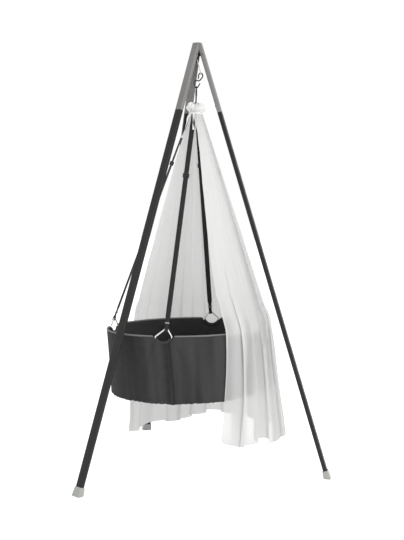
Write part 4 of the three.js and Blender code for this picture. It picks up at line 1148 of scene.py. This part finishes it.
def stitches():
    """Short lengths of thread, a little proud of the cloth."""
    bm = bmesh.new()
    size = Matrix.Diagonal((THREAD_LENGTH, THREAD_THICK, THREAD_THICK, 1))
    for turn, height, slope in stitch_places():
        point = tub_point(turn, height, wall_relief(turn, height) + THREAD_PROUD * THREAD_THICK)
        ahead = (tub_point(turn + 0.01, height, 0) - tub_point(turn, height, 0)).normalized()
        out = ahead.cross(UP)
        run = math.cos(slope) * ahead + math.sin(slope) * UP
        turned = Matrix((run, out.cross(run), out)).transposed().to_4x4()
        placed = cradle_place @ Matrix.Translation(point) @ turned @ size
        bmesh.ops.create_icosphere(bm, subdivisions=1, radius=0.5, matrix=placed)
    return new_object("tub_stitches", bm)


seam_thread = coated("seam_thread", THREAD, dull=0.7, grain=2500.0)
finish_piece(stitches(), seam_thread, "cradle_fabric", "cradle")

# Base board and mattress
# A plywood oval on the cloth floor, and on it a foam mattress in a quilted cotton cover.
BIRCH = (0.50, 0.36, 0.20, 1)
BIRCH_DARK = (0.36, 0.24, 0.12, 1)
BOARD_EDGE = 0.001
MATTRESS_LOW = 0.3421
MATTRESS_THICK = 0.050
MATTRESS_INSET = 0.014
FILLING_ROOM = 0.006
FILLING_ROOM_BELOW = 0.004
FILLING_ROOM_UPRIGHT = 0.010
PAD_SIDES = 120
PAD_MESH = 0.008
PAD_PRESSURE = 4
PAD_FRAMES = 16
PAD_MOVES_MOST = 0.008
PAD_OVER_INSET = 0.0015
QUILT_PITCH = 0.075
QUILT_DEPTH = 0.0042
QUILT_HALF = 0.16
QUILT_FROM = 0.7
COTTON = (0.80, 0.79, 0.76, 1)
COTTON_FLECK = (0.68, 0.67, 0.64, 1)


def plywood(name):
    """Birch ply with a straight grain along the cradle."""
    material, tree, surface = plain_material(name, {"Roughness": 0.6})
    given = {"Vector": own_space(tree), "Scale": (1.5, 26, 26)}
    given["Rotation"] = (0, 0, -CRADLE_TURN)
    along = add(tree, "ShaderNodeMapping", given).outputs["Vector"]
    grain = noise_mask(tree, along, 4.0, detail=6.0)
    feed(tree, surface, {"Base Color": mixed(tree, grain, BIRCH, BIRCH_DARK)})
    bump(tree, surface, grain, 0.0002)
    return material


board = refined("base_board", "plywood_board", BOARD_EDGE)
finish_piece(board, plywood("birch_ply"), "board", "cradle", "base_board")


def bake_modifiers(piece):
    """Puts the result of a piece's modifiers into its mesh."""
    settled = piece.evaluated_get(bpy.context.evaluated_depsgraph_get())
    baked = bpy.data.meshes.new_from_object(settled)
    piece.modifiers.clear()
    piece.data = baked
    piece.data.shade_smooth()


def mattress():
    """An oval cushion of even mesh, smaller than the finished pad by the filling's room."""
    bm = bmesh.new()
    bmesh.ops.create_circle(bm, cap_ends=True, cap_tris=False, segments=PAD_SIDES, radius=1)
    raised = bmesh.ops.extrude_face_region(bm, geom=list(bm.faces))
    top = [item for item in raised["geom"] if isinstance(item, bmesh.types.BMVert)]
    bmesh.ops.translate(bm, verts=top, vec=(0, 0, 1))
    for vert in bm.verts:
        turn = math.atan2(vert.co.y, vert.co.x)
        edge = tub_point(turn, MATTRESS_LOW, -MATTRESS_INSET - FILLING_ROOM)
        edge.z += FILLING_ROOM_BELOW + vert.co.z * (MATTRESS_THICK - FILLING_ROOM_UPRIGHT)
        vert.co = cradle_place @ edge
    bmesh.ops.recalc_face_normals(bm, faces=bm.faces)
    made = new_object("quilted_mattress", bm)
    remesh = made.modifiers.new("even_mesh", "REMESH")
    remesh.mode = "VOXEL"
    remesh.voxel_size = PAD_MESH
    bake_modifiers(made)
    return made


def inflate(piece, pressure, frames, limit):
    """Fills a closed cloth with air for some frames and keeps each point within a distance."""
    before = [vert.co.copy() for vert in piece.data.vertices]
    air = piece.modifiers.new("filling", "CLOTH")
    air.settings.use_pressure = True
    air.settings.uniform_pressure_force = pressure
    air.settings.effector_weights.gravity = 0
    air.settings.quality = 5
    for step in range(1, frames + 1):
        scene.frame_set(step)
    bake_modifiers(piece)
    scene.frame_set(1)
    for vert, start in zip(piece.data.vertices, before):
        moved = vert.co - start
        if moved.length > limit:
            vert.co = start + moved * (limit / moved.length)


def quilt(piece):
    """Sewn diamonds on the top, and the pad's limits above, below and around."""
    back = cradle_place.inverted()
    for vert in piece.data.vertices:
        point = back @ vert.co
        share = clamp((point.z - MATTRESS_LOW) / MATTRESS_THICK)
        if share > QUILT_FROM:
            channel = 0.0
            for place in (point.x + point.y, point.x - point.y):
                channel += bell(math.sin(math.pi * place / QUILT_PITCH), QUILT_HALF)
            deep = (share - QUILT_FROM) / (1 - QUILT_FROM)
            point.z -= QUILT_DEPTH * min(channel, 1.0) * deep
        point.z = min(max(point.z, MATTRESS_LOW), MATTRESS_LOW + MATTRESS_THICK)
        turn = math.atan2(point.y / BASE_WIDE, point.x / BASE_LONG)
        most = tub_point(turn, point.z, PAD_OVER_INSET - MATTRESS_INSET).xy.length
        shrink = most / max(point.xy.length, most)
        vert.co = cradle_place @ Vector((shrink * point.x, shrink * point.y, point.z))


def cotton(name):
    """Bleached cotton, read in the piece's own space because the pad has no chart."""
    material = woven(name, COTTON, COTTON_FLECK, 1600, 0.4, 0.00015, sheen=0.15, charted=False)
    tree = material.node_tree
    given = {"Specular IOR Level": 0.2, "Roughness": 0.9}
    feed(tree, tree.nodes["Principled BSDF"], given)
    return material


pad = mattress()
inflate(pad, PAD_PRESSURE, PAD_FRAMES, PAD_MOVES_MOST)
quilt(pad)
smoother = pad.modifiers.new("smooth_cloth", "SUBSURF")
smoother.levels = 1
smoother.render_levels = 1
finish_piece(pad, cotton("mattress_cotton"), "mattress_cover", "cradle", "mattress")

# Veil
# A curtain of thin cotton gauze, gathered at the neck and open along the front. It lies on the
# rim's piping, hangs free below it in deep folds, and has turned hems on its sides and foot.
NECK_HEIGHT = 1.508
NECK_RADIUS = 0.0248
NECK_TUCK = 0.004
VEIL_HEM = 0.112
VEIL_FROM = math.radians(-70) - CRADLE_TURN
VEIL_TO = math.radians(137) - CRADLE_TURN
VEIL_OVER_RIM = 0.010
VEIL_OFF_TUB = 0.007
RIM_BEND = 0.0035
FLARES = (0.002, 0.036, 0.066, 0.092, 0.088, 0.064, 0.036, 0.018, 0.010, 0.006, 0.004)
FRONT_DRIFTS = (
    -50, -24, -18, -16, -14, -13, -12, -10.5, -7.5, -2, 1.2, 1.4, 1.2, 0.9, 0.6, 0.4, 0, -0.8,
    -2, -3.4, -4.4,
)
BACK_DRIFTS = (-8, 4, 7, 4, 3, 2.5, 2, 2, 1, 0, -2, -2.4) + 9 * (-2.5,)
DRIFT_REACH = 0.3
DRIFT_POWER = 1.6
VEIL_COLUMNS = 340
VEIL_CLOTH = (2.2, 1.42)
PLEAT_LAYERS = 2.2
PLEAT_BANDS = (
    (0.016, 0.022, 0.0), (0.062, 0.026, 3.5), (0.099, 0.013, 0.0), (0.142, 0.032, 3.2),
    (0.205, 0.016, 0.4), (0.93, 0.07, 2.2),
)
CONE_ROWS = 64
FOOT_ROWS = 44
TUCK_RISE = 0.2
TUB_GUARD_FROM = 0.9
NECK_FOLD = 0.0035
RIM_FOLD = 0.012
HEM_FOLD = 0.024
STREAK_SHARE = 0.40
RIPPLE_DEPTH = 0.0012
FOLD_SHARES = (0.155, 0.115, 0.1, 0.13, 0.085, 0.12, 0.1, 0.115, 0.08)
FOLD_START = -0.22
OVERLAP_SHARES = (0.3, 0.2, 0.27, 0.16, 0.26, 0.2, 0.28, 0.18, 0.24)
HEM_LIFTS = (
    0.060, 0.020, 0.030, 0.040, 0.014, 0.002, 0.012, 0.012, 0.016, 0.020, 0.030, 0.040, 0.050,
    0.055, 0.038, 0.016, 0.012, 0.014, 0.018, -0.018, -0.004,
)
SIDE_HEM = 0.008
FOOT_HEM = 0.012
GAUZE = (0.82, 0.82, 0.815, 1)
GAUZE_FLECK = (0.77, 0.77, 0.76, 1)
GAUZE_THREADS = 1400
GAUZE_COVER = 0.64
# GAUZE_GLOW is painted light: an emission for light scattered through the gauze.
GAUZE_GLOW = 0.16
EDGE_ON_COVER = 0.97
HEM_COVER = 0.78
GLOW_THROUGH = 0.48


def along_list(values, share):
    """A smooth value between evenly spaced ones."""
    place = clamp(share) * (len(values) - 1)
    low = min(int(place), len(values) - 2)
    return between(values[low], values[low + 1], eased(place - low))


def oval_reach(turn, long=RIM_LONG, wide=RIM_WIDE):
    """An oval's distance from the plumb line in one direction."""
    return long * wide / math.hypot(wide * math.cos(turn), long * math.sin(turn))


def veil_turns(steps):
    """Azimuths that cut the veil's stretch of the rim into even lengths."""
    fine = 40 * steps
    turns = [between(VEIL_FROM, VEIL_TO, step / fine) for step in range(fine + 1)]
    lengths = chain_lengths([oval_reach(turn) * oval(turn) for turn in turns])
    even, step = [], 0
    for column in range(steps + 1):
        while step < fine and lengths[step] < lengths[-1] * column / steps:
            step += 1
        even.append(turns[step])
    return even


def fold_phases(columns):
    """The fold's phase at each column, from folds of different widths."""
    phases = [2 * math.pi * FOLD_START]
    for column in range(columns):
        width = along_list(FOLD_SHARES, (column + 0.5) / columns)
        phases.append(phases[-1] + 2 * math.pi / (width * columns))
    return phases


veil_azimuths = veil_turns(VEIL_COLUMNS)
veil_phases = fold_phases(VEIL_COLUMNS)


def drifted(share, down):
    """How far the two open edges wander from the straight fall of the cloth."""
    angle = 0.0
    for inwards, drifts in ((share, FRONT_DRIFTS), (1 - share, BACK_DRIFTS)):
        near = max(0, 1 - inwards / DRIFT_REACH) ** DRIFT_POWER
        angle += near * along_list(drifts, down / 2)
    return math.radians(angle)


def soft_excess(value):
    """A value where it is above zero, and nothing below, with a soft corner."""
    return value if value > 8 else math.log1p(math.exp(value)) if value > -8 else 0


def veil_base(share, height):
    """The inner face of the veil's folds: a cone to the rim, and a slight flare below it."""
    place = clamp(share) * VEIL_COLUMNS
    low = min(int(place), VEIL_COLUMNS - 1)
    turn = between(veil_azimuths[low], veil_azimuths[low + 1], place - low)
    turn += (VEIL_TO - VEIL_FROM) * (share - place / VEIL_COLUMNS)
    cone = (NECK_HEIGHT - height) / (NECK_HEIGHT - RIM_HEIGHT)
    fallen = (RIM_HEIGHT - height) / RIM_HEIGHT
    turn += drifted(share, max(cone, 0) if cone < 1 else 1 + fallen)
    rim = oval_reach(turn) + VEIL_OVER_RIM
    above = between(NECK_RADIUS, rim, max(cone, -TUCK_RISE * NECK_TUCK))
    below = rim + along_list(FLARES, share) * fallen
    reach = below - RIM_BEND * soft_excess((below - above) / RIM_BEND)
    risen = clamp((height - BASE_HEIGHT) / (RIM_HEIGHT - BASE_HEIGHT))
    long, wide = between(BASE_LONG, RIM_LONG, risen), between(BASE_WIDE, RIM_WIDE, risen)
    tub = oval_reach(turn, long, wide) + VEIL_OFF_TUB
    guard = clamp((cone - TUB_GUARD_FROM) / (1 - TUB_GUARD_FROM))
    reach += RIM_BEND * soft_excess((tub - reach) / RIM_BEND) * guard
    return reach * oval(turn)


def veil_point(column, down):
    """A place on the gauze, from its column and from its share of the way down."""
    share = column / VEIL_COLUMNS
    fallen = min(down, 1)
    foot = max(down - 1, 0)
    if down < 1:
        height = between(NECK_HEIGHT + NECK_TUCK, RIM_HEIGHT, down)
        deep = between(NECK_FOLD, RIM_FOLD, down**0.7)
    else:
        height = between(RIM_HEIGHT, VEIL_HEM + along_list(HEM_LIFTS, share), foot)
        deep = between(RIM_FOLD, HEM_FOLD, foot**0.8)
    phase = veil_phases[column]
    phase += 0.7 * noise.noise(Vector((5 * share, 1.3 * down, 3.7))) * fallen
    behind, ahead = max(column - 1, 0), min(column + 1, VEIL_COLUMNS)
    fold = 2 * math.pi * (ahead - behind) / VEIL_COLUMNS
    fold /= veil_phases[ahead] - veil_phases[behind]
    overlap = along_list(OVERLAP_SHARES, share) * (0.15 + 0.4 * fallen**3 + 0.1 * foot)
    shifted = share + overlap * fold * math.sin(2 * phase)
    near = veil_base(shifted + 0.002, height) - veil_base(shifted - 0.002, height)
    streak = noise.noise(Vector((34 * share, 2.2 * down, 9.1)))
    fine = noise.noise(Vector((90 * share, 6.0 * down, 1.9)))
    swell = deep * (0.5 - 0.5 * math.cos(phase) + STREAK_SHARE * streak)
    swell += RIPPLE_DEPTH * fine * fallen
    point = veil_base(shifted, height) + max(swell, 0) * near.cross(UP).normalized()
    return cradle_place @ (point + height * UP)


def pleat_layers(share):
    """How many layers the flat pleats add: none in the thin strips, most in the white bands."""
    layers = PLEAT_LAYERS
    for middle, half, level in PLEAT_BANDS:
        near = math.exp(-(((share - middle) / half) ** 4))
        layers = between(layers, level, near)
    return layers


def gauze_sheet():
    """The curtain as one open sheet, marked with the distance from its side and foot edges.

    The third mark says how many layers thick it is, where it is gathered finer than these folds
    show and where it is pleated flat.
    """
    downs = [row / CONE_ROWS for row in range(CONE_ROWS)]
    downs += [1 + row / FOOT_ROWS for row in range(FOOT_ROWS + 1)]
    rows = [[veil_point(column, down) for column in range(VEIL_COLUMNS + 1)] for down in downs]
    across = [chain_lengths(row) for row in rows]
    drops = chain_lengths([row[VEIL_COLUMNS // 2] for row in rows])
    bm, places, chart, marks = grid(VEIL_COLUMNS, len(rows) - 1, "side", "foot", "gather")
    side, foot, gather = marks
    lay_chart(bm, places, chart, across[-1], [-drop for drop in drops])
    for vert, (column, row) in places.items():
        vert.co = rows[row][column]
        inwards, girth = across[row][column], across[row][-1]
        vert[side] = min(inwards, girth - inwards)
        vert[foot] = drops[-1] - drops[row]
        vert[gather] = VEIL_CLOTH[0] / girth + pleat_layers(column / VEIL_COLUMNS)
    bmesh.ops.recalc_face_normals(bm, faces=bm.faces)
    return new_object("veil_curtain", bm)


def gauze(name, colour, cover, glow, hems):
    """Thin white cotton: see-through between its threads, denser edge-on, gathered or hemmed,
    glowing with painted light.
    """
    material = woven(name, colour, GAUZE_FLECK, GAUZE_THREADS, depth=0.00006, sheen=0.1)
    tree = material.node_tree
    surface = tree.nodes["Principled BSDF"]
    edge_on = add(tree, "ShaderNodeLayerWeight", {"Blend": 0.5}).outputs["Facing"]
    spread = {"Value": maths(tree, "POWER", edge_on, 3.0)}
    spread.update({"To Min": cover, "To Max": EDGE_ON_COVER})
    dense = add(tree, "ShaderNodeMapRange", spread).outputs["Result"]
    if hems:
        open_share = maths(tree, "SUBTRACT", 1.0, dense)
        clear = maths(tree, "POWER", open_share, mark(tree, "gather"))
        dense = maths(tree, "SUBTRACT", 1.0, clear)
        turned = maths(tree, "LESS_THAN", mark(tree, "side"), SIDE_HEM)
        foot = maths(tree, "LESS_THAN", mark(tree, "foot"), FOOT_HEM)
        turned = maths(tree, "MAXIMUM", turned, foot)
        dense = maths(tree, "MAXIMUM", dense, maths(tree, "MULTIPLY", turned, HEM_COVER))
    # The emission is painted light: a glow of the cloth's own colour for light scattered through
    # it.
    given = {"Specular IOR Level": 0.1, "Emission Color": colour, "Emission Strength": glow}
    feed(tree, surface, {**given, "Alpha": dense})
    through = add(tree, "ShaderNodeBsdfTranslucent", {"Color": colour}).outputs[0]
    gap = add(tree, "ShaderNodeBsdfTransparent").outputs[0]
    lit = add(tree, "ShaderNodeMixShader", {0: dense, 1: gap, 2: through}).outputs[0]
    both = {0: GLOW_THROUGH, 1: surface.outputs[0], 2: lit}
    end = next(part for part in tree.nodes if part.type == "OUTPUT_MATERIAL")
    feed(tree, end, {"Surface": add(tree, "ShaderNodeMixShader", both).outputs[0]})
    return material


curtain = gauze_sheet()
thin_gauze = gauze("gauze", GAUZE, GAUZE_COVER, GAUZE_GLOW, hems=True)
finish_piece(curtain, thin_gauze, "veil_gauze", "cradle", "veil")

# Ruffle
# The heading above the drawstring: doubled gauze that stands up in puffed lobes round the yoke.
# Its profile is in radius, height and puff.
RUFFLE_LOBES = 11
RUFFLE_STEPS = 264
PROFILE_STEPS = 3
RUFFLE_PROFILE = (
    (0.0296, 1.5045, 0.05), (0.0284, 1.5075, 0.03), (0.0280, 1.5105, 0.05),
    (0.0290, 1.5135, 0.20), (0.0330, 1.5165, 0.55), (0.0375, 1.5205, 0.85),
    (0.0395, 1.5260, 1.00), (0.0385, 1.5325, 1.00), (0.0345, 1.5390, 1.00),
    (0.0285, 1.5445, 0.90), (0.0210, 1.5485, 0.60), (0.0125, 1.5510, 0.25),
    (0.0046, 1.5520, 0.00),
)
LOBE_WANDER = 1.6
LOBE_SIZE = 0.24
LOBE_RISE = 0.0075
CRUMPLE_SIZE = 0.14
CRUMPLE_RISE = 0.007
PUFF_SHRINK = 0.20
GATHER_SIZE = 0.04
RUFFLE_PINCH = math.radians(-124)
PINCH_SPREAD = 0.3
PINCH_SIZE = 0.08
PINCH_DROP = 0.006
RUFFLE_REACH = 0.0395
RUFFLE_TILT = 0.002
RUFFLE_HIGH_SIDE = math.radians(150)
# The ruffle is whiter and glows more than the curtain: painted light against its crumples' shade.
RUFFLE_WHITE_WITH_PAINTED_LIGHT = (0.96, 0.96, 0.955, 1)
RUFFLE_COVER = 0.85
RUFFLE_GLOW = 0.3


def ruffle_rows():
    """Loops of the puffed heading, from its lower edge up and in to the cord."""
    rows = []
    profile = smooth_route([Vector(point) for point in RUFFLE_PROFILE], PROFILE_STEPS)
    for radius, height, puff in profile:
        row = []
        for step in range(RUFFLE_STEPS):
            turn = 2 * math.pi * step / RUFFLE_STEPS
            wander = ripple(turn, 2.1, 0, 0, 5.5)
            lobe = abs(math.sin(RUFFLE_LOBES * turn / 2 + LOBE_WANDER * wander)) ** 0.7
            gather = abs(math.sin(1.5 * RUFFLE_LOBES * turn + 3 * wander + 40 * height))
            crumple = ripple(turn, 5, 0, 0, 70 * height)
            pinch = bell(math.sin(turn - RUFFLE_PINCH), PINCH_SPREAD)
            puffed = LOBE_SIZE * lobe - PUFF_SHRINK + CRUMPLE_SIZE * crumple - PINCH_SIZE * pinch
            reach = radius * (1 + puff * puffed + GATHER_SIZE * gather * (1 - puff))
            risen = LOBE_RISE * (lobe - 0.5) + CRUMPLE_RISE * crumple - PINCH_DROP * pinch
            rise = puff * risen
            rise += RUFFLE_TILT * math.cos(turn - RUFFLE_HIGH_SIDE) * radius / RUFFLE_REACH
            row.append(reach * oval(turn) + (height + rise) * UP)
        rows.append(row)
    return rows


doubled = gauze("doubled_gauze", RUFFLE_WHITE_WITH_PAINTED_LIGHT, RUFFLE_COVER, RUFFLE_GLOW, hems=False)
ruffle = skin("gathered_heading", cradle_place, ruffle_rows(), caps=False, chart_row=20)
finish_piece(ruffle, doubled, "veil_gauze", "cradle", "veil_ruffle")

# Tie ribbons
# The two ends of the drawstring, flat white tape, hang twisted from the neck on the open side.
# Their points are in degrees round the cradle, distance and height.
TAPE_WIDTH = 0.008
TAPE_THICK = 0.0008
TAPE_STEPS = 9
TAPE_WHITE = (0.88, 0.88, 0.87, 1)
TAPE_FLECK = (0.72, 0.72, 0.71, 1)
LONG_TAPE = (
    (216, 0.044, 1.513), (199, 0.050, 1.491), (191, 0.0505, 1.466), (179, 0.056, 1.424),
    (172, 0.062, 1.404),
)
SHORT_TAPE = (
    (-136, 0.044, 1.509), (-134, 0.050, 1.487), (-135, 0.053, 1.465), (-132, 0.054, 1.438),
)


def tape(name, knots, twist, start):
    """A flat tape through points given by azimuth, distance and height, turning as it goes."""
    points = []
    for azimuth, reach, height in knots:
        points.append(reach * oval(math.radians(azimuth)) + height * UP)
    route = smooth_route(points, TAPE_STEPS)
    last = len(route) - 1
    stations = []
    for step, point in enumerate(route):
        ahead = (route[min(step + 1, last)] - route[max(step - 1, 0)]).normalized()
        side = ahead.cross(Vector((point.x, point.y, 0))).normalized()
        turn = math.radians(start + twist * step / last)
        wide = (math.cos(turn) * side + math.sin(turn) * side.cross(ahead)).normalized()
        stations.append((point, wide, wide.cross(ahead), TAPE_WIDTH, TAPE_THICK))
    return ribbon(name, stations)


white_tape = woven("white_tape", TAPE_WHITE, TAPE_FLECK, 900, depth=0.00015)
long_tape = tape("tie_tape_long", LONG_TAPE, 250, -20)
short_tape = tape("tie_tape_short", SHORT_TAPE, -170, 30)
finish_piece(long_tape, white_tape, "veil_gauze", "cradle", "veil_ribbon_long")
finish_piece(short_tape, white_tape, "veil_gauze", "cradle", "veil_ribbon_short")
